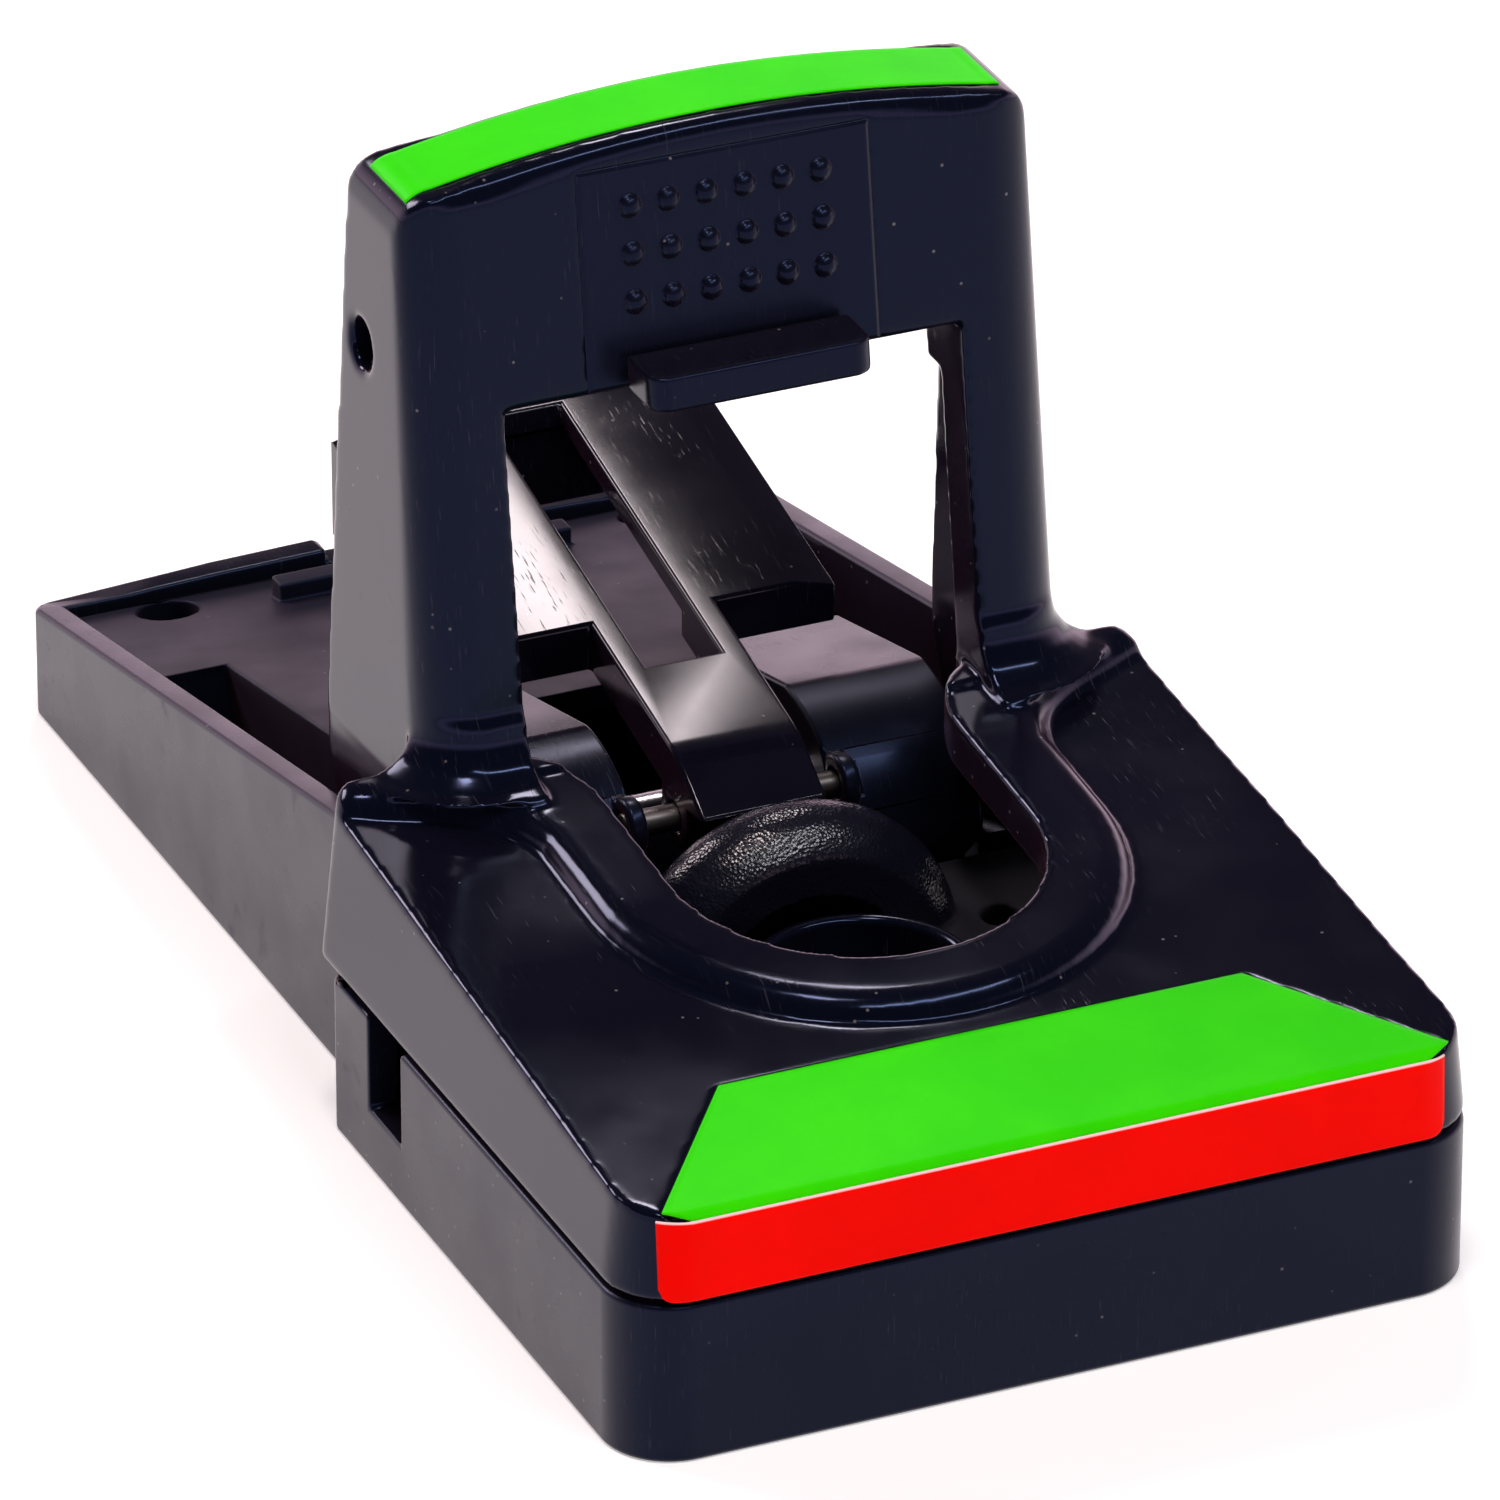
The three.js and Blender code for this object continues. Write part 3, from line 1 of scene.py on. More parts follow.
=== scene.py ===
"""Looks of the snap mouse trap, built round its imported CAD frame."""
import math

import bmesh
import bpy
import numpy as np
from mathutils import Matrix, Quaternion, Vector
from mathutils.bvhtree import BVHTree


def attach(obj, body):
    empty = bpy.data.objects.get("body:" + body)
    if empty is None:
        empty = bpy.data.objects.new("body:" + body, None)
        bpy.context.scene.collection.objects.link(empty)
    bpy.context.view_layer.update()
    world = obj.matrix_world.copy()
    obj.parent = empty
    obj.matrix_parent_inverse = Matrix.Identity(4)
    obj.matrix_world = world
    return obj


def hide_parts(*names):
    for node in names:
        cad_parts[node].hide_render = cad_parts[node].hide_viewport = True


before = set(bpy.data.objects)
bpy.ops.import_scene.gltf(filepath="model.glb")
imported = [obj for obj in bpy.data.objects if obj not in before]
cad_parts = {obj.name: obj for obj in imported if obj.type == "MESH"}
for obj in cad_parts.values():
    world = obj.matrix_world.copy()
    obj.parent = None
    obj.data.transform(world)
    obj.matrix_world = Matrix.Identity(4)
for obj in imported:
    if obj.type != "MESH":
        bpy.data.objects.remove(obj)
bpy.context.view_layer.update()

# ---- the trap's own dimensions, in mm, from the pedal's front face ------------------------

MM = 0.001
PEDAL_TO_CENTRE = 47.65
HALF_WIDTH = 25.4

PEDAL_BOTTOM = 9.9
PEDAL_FRONT_TOP = 15.0
PEDAL_SLOPE = 0.092
PEDAL_DRAFT = 0.105
PEDAL_CORNER = 4.0
NOSE_RADIUS = 0.8

FRAME_ROOT = 20.2
FRAME_TOP = 55.4
FRAME_FRONT_BASE = 40.7
FRAME_FRONT_TOP = 45.75
CROWN_RADIUS = 85.0
SHOULDER_START = 16.7
SHOULDER_RADIUS = 2.2

LABEL_LIFT = 0.05
LABEL_THICK = 0.09
GREEN_REAR = 10.75
GREEN_HALF_FRONT = 23.2
GREEN_HALF_REAR = 15.55
FOLD_ANGLE = 58.0
RED_LEFT = -23.5
RED_RIGHT = 22.7
RED_BOTTOM = 9.95
RED_TOP = 14.74
RED_CORNER = 0.8
# the red label's top strip at the fold takes a painted highlight: its colour is paled from this depth
# below its top, blended over the next height
FOLD_HIGHLIGHT_DEPTH = 0.14
FOLD_HIGHLIGHT_BLEND = 0.08
TOP_LABEL_ENDS = (-18.2, 17.4)
TOP_LABEL_FRONT = 46.95
TOP_LABEL_REAR = 52.05

PAD_HALF = 8.5
PAD_BOTTOM = 41.2
PAD_TOP = 53.5
PAD_PROUD = 0.12
PAD_EDGE = 0.25
PAD_LAP = 0.3
PAD_SHEET = 0.12
PAD_SINK = 0.02
BUMP_COLUMNS = 6
BUMP_ROWS = 3
BUMP_RADIUS = 0.65
BUMP_FLATTENING = 0.8
BUMP_PITCH = (2.28, 2.73)
BUMP_FIRST_Z = 46.0

PLATE_TOP = 9.1
GRAIN_BLEND = 0.5

CUP_Y = 26.2
CUP_RADIUS = 6.5
CUP_TOP = 12.2
CUP_WALL = 0.9
CUP_FOOT_RADIUS = 8.2
CUP_FOOT_EDGES = (0.3, 0.2)
CUP_INSIDE_EDGE = 0.6
CUP_BOTTOM = 0.15
CUP_FLOOR = 1.45

AXLE = (49.8, 10.8)
AXLE_RADIUS = 1.25
AXLE_HALF = 20.5
TREADLE_PIN = (43.6, 13.9)
TREADLE_PIN_RADIUS = 0.8
TREADLE_PIN_HALF = 7.0
CATCH_PIN = (42.9, 4.6)
CATCH_PIN_RADIUS = 0.6
CATCH_PIN_HALF = 17.5
ROD_EDGE = 0.2
CLIP_INNER = 19.8
CLIP_THICK = 0.5
CLIP_RADIUS = 2.6
CLIP_BORE = 1.31
CLIP_EDGE = 0.1

SPRING_WIRE = 0.8
SPRING_MEAN_RADIUS = 2.5
SPRING_TURNS = 4
SPRING_PITCH = 1.3
SPRING_START = 7.7
SPRING_LEG = 9.5

# ---- how finely things are cut ------------------------------------------------------------

PAD_GRID = (236, 170)
GREEN_SLOPE_ROWS = 40
GREEN_FOLD_ROWS = 12
GREEN_COLUMNS = 90
RED_GRID = (240, 44)
TOP_LABEL_GRID = (200, 20)
CUP_RIM_STEPS = 14
CUP_SIDES = 96
ROD_EDGE_STEPS = 6
ROD_SIDES = 40
CLIP_SIDES = 48
WIRE_SIDES = 14
COIL_STEPS = 32
LEG_STEPS = 24
END_STEPS = 6

CAD_MERGE = 2e-6                 # m
SEAM_MERGE = 1e-7                # m
SOFTENING = 0.5                  # share of the way to the neighbours' mean, in each pass
FLAT_ANGLE = math.radians(0.6)
SHARP_ANGLE = math.radians(40)
ROUNDING_STEPS = 3
ROUNDING_REACH = 0.45            # share of the width; where three edges meet it goes 0.42 deep

# ---- values of the finishes ---------------------------------------------------------------

SATIN_BLACK = (0.003, 0.004, 0.009)
GLOSSY_BLACK = (0.002, 0.003, 0.008)
TRIGGER_BLACK = (0.003, 0.003, 0.008)
GRAINED_BLACK = (0.005, 0.005, 0.011)
NAVY_TINT = (0.12, 0.17, 0.38)
GLOSS_TINT = (0.16, 0.21, 0.42)
TRIGGER_TINT = (0.60, 0.60, 0.66)
GRAIN_TINT = (0.85, 0.85, 0.90)
DUST_GREY = (0.22, 0.21, 0.21)
SCRATCH_GREY = (0.06, 0.06, 0.07)
METAL_SCRATCH_GREY = (0.3, 0.3, 0.3)
METAL_SCRATCHED = 0.6
FILM_WEIGHT = 0.035
FILM_ROUGHNESS = 0.4
FILM_PINK = (1.0, 0.35, 0.55)
ZINC_GREY = (0.62, 0.62, 0.64)
# darker steel of the treadle and catch pins: partly their own dark finish, partly painted shade standing
# for the treadle arm's shadow on the treadle pin's left end
PIN_DARK_AND_SHADE_GREY = (0.10, 0.09, 0.09)
WIRE_GREY = (0.42, 0.41, 0.40)
LABEL_GREENS = ((0.036, 0.72, 0.001), (0.028, 0.67, 0.001))
LABEL_REDS = ((0.95, 0.003, 0.001), (0.89, 0.003, 0.001))
# pale red of the painted highlight along the red label's fold
FOLD_HIGHLIGHT_RED = (0.95, 0.70, 0.68)
VINYL_SHEEN = 0.12
VINYL_ROUGHNESS = 0.42

SCRATCH_SCALE = 8500.0
SCRATCH_PEAKS = (0.70, 0.80)
SCRATCH_ROUGHENING = 0.5
SCRATCH_DEPTH = 0.00002          # m
SCRATCH_RELIEF = 0.3
# the turn of each of the three noises, and how thin its leaves are
SCRATCH_WAYS = (
    ((0.6, 0.5, 0.5), 0.05),
    ((-0.5, 0.9, -0.9), 0.07),
    ((1.2, -0.7, 2.0), 0.06),
)
PATCH_SCALE = 90.0
PATCH_EDGE = (0.42, 0.62)
SPECK_SCALE = 1300.0
SPECK_EDGE = (0.15, 0.08)
SPECK_CHOICE = (0.93, 0.95)
GRAIN_SCALE = 5200.0
GRAIN_DEPTH = 0.00004            # m
GRAIN_RELIEF = 0.6
PLASTIC_MOTTLE = 160.0
VINYL_MOTTLE = 220.0
METAL_MOTTLE = 400.0
MOTTLE_MIDDLE = (0.3, 0.7)
SHADE_EDGE = (0.35, 0.65)

# ---- camera, in mm and degrees, and studio, in m and W ------------------------------------

CAMERA_AZIMUTH = -23.863
CAMERA_ELEVATION = 27.780
CAMERA_LENS = 336.0
CAMERA_SENSOR = 36.0
CAMERA_SHIFT = (16.864, -33.900, -755.055)
CAMERA_CLIP = (0.05, 20.0)       # m

FLOOR_HALF = 3
FLOOR_GREY = 0.86
FLOOR_ROUGHNESS = 0.8
FLOOR_GLOW = 0.35
OVERHEAD_COLOUR = (0.05, 0.05, 0.07)
HORIZON_COLOUR = (2.00, 1.45, 1.75)
HORIZON_EDGE = (0.34, 0.12)
LAMP_PINK = (1.0, 0.86, 0.86)
LAMP_ROSE = (1.0, 0.88, 0.86)
LAMP_PEACH = (1.0, 0.86, 0.80)
LAMP_WHITE = (1, 1, 1)
# name, place, aim, size, power, colour, turn in its own plane in degrees
LAMPS = (
    ("rear_left", (-0.44, 0.68, 0.58), (0, 0, 0.02), (0.36, 0.28), 5.0, LAMP_PINK, 0.0),
    ("over_treadle", (0.1185, 0.2426, 0.3622), (0.1185, 0.0, 0.02), (0.06, 0.07), 0.36, LAMP_ROSE, 22.8),
    ("overhead", (-0.084, -0.110, 0.70), (0, 0, 0.016), (0.10, 0.09), 1.5, LAMP_PEACH, 0.0),
    ("front_right", (0.24, -0.50, 0.92), (0, 0, 0.03), (0.85, 0.06), 5.0, LAMP_WHITE, 0.0),
)

# ---- lines that several pieces follow -----------------------------------------------------


def place(points):
    """Millimetres from the pedal's front face to metres in the row frame."""
    return (np.asarray(points, float) - (0.0, PEDAL_TO_CENTRE, 0.0)) * MM


def pedal_top(y):
    return PEDAL_FRONT_TOP + PEDAL_SLOPE * y


def pedal_draft(z):
    """The share of its foot's width that the pedal has at a height z."""
    return 1 - PEDAL_DRAFT * (z - PEDAL_BOTTOM) / HALF_WIDTH


def pedal_half(y, z):
    """Half width of the drafted pedal at a depth y, its corners being circles."""
    inside = np.clip(PEDAL_CORNER ** 2 - (PEDAL_CORNER - np.clip(y, 0, PEDAL_CORNER)) ** 2, 0, None)
    return pedal_draft(z) * (HALF_WIDTH - PEDAL_CORNER + np.sqrt(inside))


def frame_front(z):
    share = (z - FRAME_ROOT) / (FRAME_TOP - FRAME_ROOT)
    return FRAME_FRONT_BASE + (FRAME_FRONT_TOP - FRAME_FRONT_BASE) * share


def crown(x):
    """The arched top: a wide circle that turns into a small quarter circle at each shoulder."""
    across = np.abs(x)
    arch = FRAME_TOP - np.minimum(across, SHOULDER_START) ** 2 / (2 * CROWN_RADIUS)
    past = np.clip(across - SHOULDER_START, 0, SHOULDER_RADIUS)
    return arch - SHOULDER_RADIUS + np.sqrt(SHOULDER_RADIUS ** 2 - past ** 2)


def smoothstep(low, high, value):
    share = np.clip((value - low) / (high - low), 0, 1)
    return share * share * (3 - 2 * share)


# ---- making meshes ------------------------------------------------------------------------


def link(name, mesh):
    piece = bpy.data.objects.new(name, mesh)
    bpy.context.scene.collection.objects.link(piece)
    return piece


def all_smooth(mesh):
    mesh.polygons.foreach_set("use_smooth", np.ones(len(mesh.polygons), bool))


def finish(piece, nodes, body, material):
    piece.data.materials.clear()
    piece.data.materials.append(material)
    all_smooth(piece.data)
    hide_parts(*nodes)
    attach(piece, body)


def grid_mesh(name, points, closed_u=False, closed_v=False):
    """A grid of points, shape (rows, columns, 3) in mm, as a mesh of quads."""
    rows, columns = points.shape[:2]
    index = np.arange(rows * columns).reshape(rows, columns)
    if closed_u:
        index = np.concatenate([index, index[:1]])
    if closed_v:
        index = np.concatenate([index, index[:, :1]], axis=1)
    corners = [index[:-1, :-1], index[:-1, 1:], index[1:, 1:], index[1:, :-1]]
    faces = np.stack(corners, axis=-1).reshape(-1, 4)
    mesh = bpy.data.meshes.new(name)
    mesh.from_pydata(place(points.reshape(-1, 3)).tolist(), [], faces.tolist())
    return mesh


def closed(mesh):
    """Closes poles and seams, then turns every face outwards."""
    work = bmesh.new()
    work.from_mesh(mesh)
    bmesh.ops.remove_doubles(work, verts=work.verts, dist=SEAM_MERGE)
    bmesh.ops.recalc_face_normals(work, faces=work.faces)
    work.to_mesh(mesh)
    work.free()
    return mesh


def sheet(name, points, thick):
    """A grid of points with a thickness, in mm, added against the way its faces point."""
    piece = link(name, grid_mesh(name, points))
    wall = piece.modifiers.new("thickness", "SOLIDIFY")
    wall.thickness = thick * MM
    wall.offset = -1
    return piece


def lathe(name, profile, centre, axis, sides):
    """A closed profile of (radius, height) turned about an upright or a crosswise axis."""
    profile = np.asarray(profile, float)
    angle = np.linspace(0, 2 * math.pi, sides, endpoint=False)[:, None]
    radius, height = profile[None, :, 0], profile[None, :, 1]
    first, second = radius * np.cos(angle), radius * np.sin(angle)
    along = np.broadcast_to(height, first.shape)
    order = (first, second, along) if axis == "z" else (along, first, second)
    points = np.stack(order, axis=-1) + np.asarray(centre, float)
    return link(name, closed(grid_mesh(name, points, closed_u=True)))


def tube(name, path, radius):
    """A round wire carried along a path, its cross direction kept square to the path."""
    path = np.asarray(path, float)
    tangent = np.gradient(path, axis=0)
    tangent /= np.linalg.norm(tangent, axis=1, keepdims=True)
    across = np.array([1.0, 0.0, 0.0]) - tangent * tangent[:, :1]
    across /= np.linalg.norm(across, axis=1, keepdims=True)
    third = np.cross(tangent, across)
    angle = np.linspace(0, 2 * math.pi, WIRE_SIDES, endpoint=False)[None, :, None]
    ring = across[:, None] * np.cos(angle) + third[:, None] * np.sin(angle)
    first, last = (np.repeat(path[end][None, None], WIRE_SIDES, 1) for end in (0, -1))
    points = np.concatenate([first, path[:, None] + radius * ring, last])
    return link(name, closed(grid_mesh(name, points, closed_v=True)))


def merged_copy(node):
    """A copy of a CAD solid's mesh, and a work mesh of it with doubled corners merged."""
    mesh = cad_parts[node].data.copy()
    work = bmesh.new()
    work.from_mesh(mesh)
    bmesh.ops.remove_doubles(work, verts=work.verts, dist=CAD_MERGE)
    return mesh, work


def evaluated(piece):
    return piece.evaluated_get(bpy.context.evaluated_depsgraph_get())


def bake(piece):
    """Works the modifiers into the piece's mesh."""
    bpy.context.view_layer.update()
    result = bpy.data.meshes.new_from_object(evaluated(piece))
    piece.modifiers.clear()
    piece.data = result
    result.name = piece.name


def moulded(name, node, cell, passes, most_triangles):
    """A cast piece from its CAD solid: merged, recut into even cells, and its edges softened
    by averaging neighbours, as a mould leaves them. Cell is in mm."""
    source, work = merged_copy(node)
    work.to_mesh(source)
    work.free()
    piece = link(name, source)
    cells = piece.modifiers.new("cells", "REMESH")
    cells.mode = "VOXEL"
    cells.voxel_size = cell * MM
    soften = piece.modifiers.new("soften", "SMOOTH")
    soften.factor = SOFTENING
    soften.iterations = passes
    triangles = 2 * len(evaluated(piece).data.polygons)
    if triangles > most_triangles:
        thin = piece.modifiers.new("thin", "DECIMATE")
        thin.ratio = most_triangles / triangles
    bake(piece)
    return piece


def edged(name, node, width):
    """A cast piece from its CAD solid: merged, its flats cut again into fewer triangles, and
    every sharp edge rounded over. The flats are cut before the rounding, because a whole face
    with a hole in it would be filled over the hole. Where short edges meet, the rounding
    throws a few points too far, and those go back to the solid's skin. Width is in mm."""
    source, work = merged_copy(node)
    bmesh.ops.dissolve_limit(work, angle_limit=FLAT_ANGLE, verts=work.verts, edges=work.edges)
    bmesh.ops.triangulate(work, faces=work.faces[:])
    work.to_mesh(source)
    skin = BVHTree.FromBMesh(work)
    work.free()
    all_smooth(source)
    piece = link(name, source)
    rounding = piece.modifiers.new("rounding", "BEVEL")
    rounding.width = width * MM
    rounding.segments = ROUNDING_STEPS
    rounding.limit_method = "ANGLE"
    rounding.angle_limit = SHARP_ANGLE
    rounding.use_clamp_overlap = False
    bake(piece)
    for corner in piece.data.vertices:
        spot, _, _, apart = skin.find_nearest(corner.co)
        if apart > ROUNDING_REACH * width * MM:
            corner.co = spot
    piece.modifiers.new("flats stay flat", "WEIGHTED_NORMAL")
    bake(piece)
    return piece


# ---- nodes that materials are made of -----------------------------------------------------


def add(tree, kind, **settings):
    node = tree.nodes.new(kind)
    for key, value in settings.items():
        if key in node.inputs:
            node.inputs[key].default_value = value
        else:
            setattr(node, key, value)
    return node


def add_math(tree, operation, *values):
    """Each value is a number or another node's output."""
    node = add(tree, "ShaderNodeMath", operation=operation)
    for socket, value in zip(node.inputs, values):
        if isinstance(value, (int, float)):
            socket.default_value = value
        else:
            tree.links.new(value, socket)
    return node.outputs["Value"]


def remap(tree, source, low, high, start=0.0, end=1.0):
    """Start below low, end above high, straight between."""
    node = add(tree, "ShaderNodeMapRange")
    for label, value in (("From Min", low), ("From Max", high), ("To Min", start), ("To Max", end)):
        node.inputs[label].default_value = value
    tree.links.new(source, node.inputs["Value"])
    return node.outputs["Result"]


def mix_colour(tree, mask, below, above):
    """Below where the mask is 0 and above where it is 1, each a colour or a node's output."""
    node = add(tree, "ShaderNodeMix", data_type="RGBA")
    sockets = [s for s in node.inputs if s.type == "RGBA"]
    for socket, value in zip(sockets, (below, above)):
        if isinstance(value, tuple):
            socket.default_value = (*value, 1.0)
        else:
            tree.links.new(value, socket)
    tree.links.new(mask, node.inputs["Factor"])
    return next(s for s in node.outputs if s.type == "RGBA")


def object_spot(tree):
    return add(tree, "ShaderNodeTexCoord").outputs["Object"]


def object_height(tree):
    split = add(tree, "ShaderNodeSeparateXYZ")
    tree.links.new(object_spot(tree), split.inputs["Vector"])
    return split.outputs["Z"]


# ---- effects that several finishes share ---------------------------------------------------


def new_group(name, given_name, given_value, result_name):
    """An empty group with one number going in and one coming out."""
    group = bpy.data.node_groups.new(name, "ShaderNodeTree")
    given = group.interface.new_socket(given_name, in_out="INPUT", socket_type="NodeSocketFloat")
    given.default_value = given_value
    group.interface.new_socket(result_name, in_out="OUTPUT", socket_type="NodeSocketFloat")
    inside = group.nodes.new("NodeGroupInput").outputs[given_name]
    return group, inside, group.nodes.new("NodeGroupOutput").inputs[result_name]


def make_scratches():
    """Short fine scratches: three noises squeezed into thin leaves, which a surface cuts as
    lines. Only their peaks are kept, and a broad noise thins them into patches."""
    group, amount, result = new_group("fine scratches", "Amount", 0.5, "Mask")
    spot = object_spot(group)
    patches = add(group, "ShaderNodeTexNoise", Scale=PATCH_SCALE, Detail=2.0)
    group.links.new(spot, patches.inputs["Vector"])
    spread = remap(group, patches.outputs["Fac"], *PATCH_EDGE)
    total = None
    for turn, stretch in SCRATCH_WAYS:
        turned = add(group, "ShaderNodeMapping")
        turned.inputs["Rotation"].default_value = turn
        turned.inputs["Scale"].default_value = (1.0, stretch, stretch)
        group.links.new(spot, turned.inputs["Vector"])
        lines = add(group, "ShaderNodeTexNoise", Scale=SCRATCH_SCALE, Detail=1.0)
        group.links.new(turned.outputs["Vector"], lines.inputs["Vector"])
        mask = remap(group, lines.outputs["Fac"], *SCRATCH_PEAKS)
        total = mask if total is None else add_math(group, "MAXIMUM", total, mask)
    shown = add_math(group, "MULTIPLY", total, spread)
    group.links.new(add_math(group, "MULTIPLY", shown, amount), result)
    return group


def make_dust():
    """Dust specks: the middles of scattered cells, most of them dropped by a random share."""
    group, amount, result = new_group("dust specks", "Amount", 0.5, "Mask")
    cells = add(group, "ShaderNodeTexVoronoi", Scale=SPECK_SCALE)
    group.links.new(object_spot(group), cells.inputs["Vector"])
    middle = remap(group, cells.outputs["Distance"], *SPECK_EDGE)
    split = add(group, "ShaderNodeSeparateColor")
    group.links.new(cells.outputs["Color"], split.inputs["Color"])
    chosen = remap(group, split.outputs["Red"], *SPECK_CHOICE)
    shown = add_math(group, "MULTIPLY", middle, chosen)
    group.links.new(add_math(group, "MULTIPLY", shown, amount), result)
    return group


def make_mottle():
    """Slow unevenness of a moulded or printed face, about one half."""
    group, scale, result = new_group("mottle", "Scale", 150.0, "Value")
    noise = add(group, "ShaderNodeTexNoise", Detail=3.0)
    group.links.new(object_spot(group), noise.inputs["Vector"])
    group.links.new(scale, noise.inputs["Scale"])
    group.links.new(noise.outputs["Fac"], result)
    return group


scratches = make_scratches()
dust = make_dust()
mottle = make_mottle()

# ---- finishes -----------------------------------------------------------------------------


def start(name):
    material = bpy.data.materials.new(name)
    material.use_nodes = True
    return material, material.node_tree, material.node_tree.nodes["Principled BSDF"]


def use(tree, group, **values):
    """A shared effect placed in a material, as its one output."""
    node = tree.nodes.new("ShaderNodeGroup")
    node.node_tree = group
    for key, value in values.items():
        node.inputs[key].default_value = value
    return node.outputs[0]


def dusted(tree, below, amount):
    return mix_colour(tree, use(tree, dust, Amount=amount), below, DUST_GREY)


def raised(tree, shader, height, depth, relief):
    """Relief in the shading only: height times a depth in m, weakened to the share relief."""
    bump = add(tree, "ShaderNodeBump", Strength=relief, Distance=depth)
    tree.links.new(height, bump.inputs["Height"])
    tree.links.new(bump.outputs["Normal"], shader.inputs["Normal"])


def plastic(name, colour, tint, rough, scratched, dusty):
    """Moulded plastic: roughness wanders with the mottle, and scratches and dust lie on it.
    It mirrors little and bluish face on, and much at a flat angle."""
    material, tree, shader = start(name)
    lines = use(tree, scratches, Amount=scratched)
    worn = mix_colour(tree, lines, colour, SCRATCH_GREY)
    tree.links.new(dusted(tree, worn, dusty), shader.inputs["Base Color"])
    wander = remap(tree, use(tree, mottle, Scale=PLASTIC_MOTTLE), *MOTTLE_MIDDLE, *rough)
    scuffed = add_math(tree, "MULTIPLY_ADD", lines, SCRATCH_ROUGHENING, wander)
    tree.links.new(scuffed, shader.inputs["Roughness"])
    raised(tree, shader, lines, SCRATCH_DEPTH, SCRATCH_RELIEF)
    shader.inputs["Specular Tint"].default_value = (*tint, 1.0)
    shader.inputs["Sheen Weight"].default_value = FILM_WEIGHT
    shader.inputs["Sheen Roughness"].default_value = FILM_ROUGHNESS
    shader.inputs["Sheen Tint"].default_value = (*FILM_PINK, 1.0)
    return material


def leather(name, colour, plate_rough, dome_rough, dusty):
    """Plastic cast with a fine leather grain on its dome. The flat plate and the foot have no
    grain and are duller."""
    material, tree, shader = start(name)
    tree.links.new(dusted(tree, colour, dusty), shader.inputs["Base Color"])
    shader.inputs["Specular Tint"].default_value = (*GRAIN_TINT, 1.0)
    dome = remap(tree, object_height(tree), PLATE_TOP * MM, (PLATE_TOP + GRAIN_BLEND) * MM)
    tree.links.new(remap(tree, dome, 0.0, 1.0, plate_rough, dome_rough), shader.inputs["Roughness"])
    cells = add(tree, "ShaderNodeTexVoronoi", Scale=GRAIN_SCALE)
    tree.links.new(object_spot(tree), cells.inputs["Vector"])
    grain = add_math(tree, "MULTIPLY", cells.outputs["Distance"], dome)
    raised(tree, shader, grain, GRAIN_DEPTH, GRAIN_RELIEF)
    return material


def vinyl(name, colour, shade, highlight_from=None):
    """Printed vinyl without any print: two near shades, mottled. Its shine takes its colour.
    Above the height highlight_from, where the sheet is folded over, the colour is painted pale: a
    painted highlight along the fold."""
    material, tree, shader = start(name)
    uneven = remap(tree, use(tree, mottle, Scale=VINYL_MOTTLE), *SHADE_EDGE)
    tone = mix_colour(tree, uneven, colour, shade)
    if highlight_from is not None:
        # painted highlight: the folded top strip is paled
        worn = remap(tree, object_height(tree), highlight_from * MM, (highlight_from + FOLD_HIGHLIGHT_BLEND) * MM)
        tone = mix_colour(tree, worn, tone, FOLD_HIGHLIGHT_RED)
    tree.links.new(tone, shader.inputs["Base Color"])
    shader.inputs["Specular Tint"].default_value = (*colour, 1.0)
    shader.inputs["Specular IOR Level"].default_value = VINYL_SHEEN
    shader.inputs["Roughness"].default_value = VINYL_ROUGHNESS
    return material


def metal(name, colour, rough):
    """Bright wire: roughness wanders, and scratches darken it a little."""
    material, tree, shader = start(name)
    lines = use(tree, scratches, Amount=METAL_SCRATCHED)
    tree.links.new(mix_colour(tree, lines, colour, METAL_SCRATCH_GREY), shader.inputs["Base Color"])
    shader.inputs["Metallic"].default_value = 1.0
    wander = remap(tree, use(tree, mottle, Scale=METAL_MOTTLE), 0.0, 1.0, *rough)
    tree.links.new(wander, shader.inputs["Roughness"])
    return material


# name, colour, tint of the shine, least and most roughness, weight of scratches and of dust
black = plastic("black_plastic", SATIN_BLACK, NAVY_TINT, (0.22, 0.34), 0.3, 0.5)
matte = plastic("matte_black_plastic", SATIN_BLACK, NAVY_TINT, (0.46, 0.60), 0.2, 0.5)
glossy = plastic("glossy_black_plastic", GLOSSY_BLACK, GLOSS_TINT, (0.10, 0.18), 0.3, 0.6)
trigger = plastic("trigger_black_plastic", TRIGGER_BLACK, TRIGGER_TINT, (0.10, 0.16), 0.35, 0.5)
grained = leather("textured_black_plastic", GRAINED_BLACK, plate_rough=0.80, dome_rough=0.20, dusty=0.3)
zinc = metal("zinc_plated_steel", ZINC_GREY, (0.18, 0.34))
# the pins' darker steel is partly painted shade
pin_dark_and_shade = metal("pin_dark_and_shade_zinc_plated_steel", PIN_DARK_AND_SHADE_GREY, (0.34, 0.46))
wire = metal("spring_steel", WIRE_GREY, (0.26, 0.42))
green = vinyl("green_vinyl", *LABEL_GREENS)
# its top strip at the fold takes a painted highlight
red = vinyl("red_vinyl", *LABEL_REDS, highlight_from=RED_TOP - FOLD_HIGHLIGHT_DEPTH)

# ---- cast pieces --------------------------------------------------------------------------

# piece, CAD node, cell in mm, softening passes, most triangles, body, slot, finish
CAST = (
    ("bait_hood_cast", "bait_hood", 0.2, 10, 120000, "base", "textured_black_plastic", grained),
    ("jaw_lever_cast", "jaw_lever", 0.2, 14, 195000, "jaw", "glossy_black_plastic", glossy),
    ("finger_ledge_cast", "finger_ledge", 0.12, 12, 40000, "jaw", "black_plastic", black),
)
for name, node, cell, passes, most, body, slot, material in CAST:
    finish(moulded(name, node, cell, passes, most), [node], body, material)

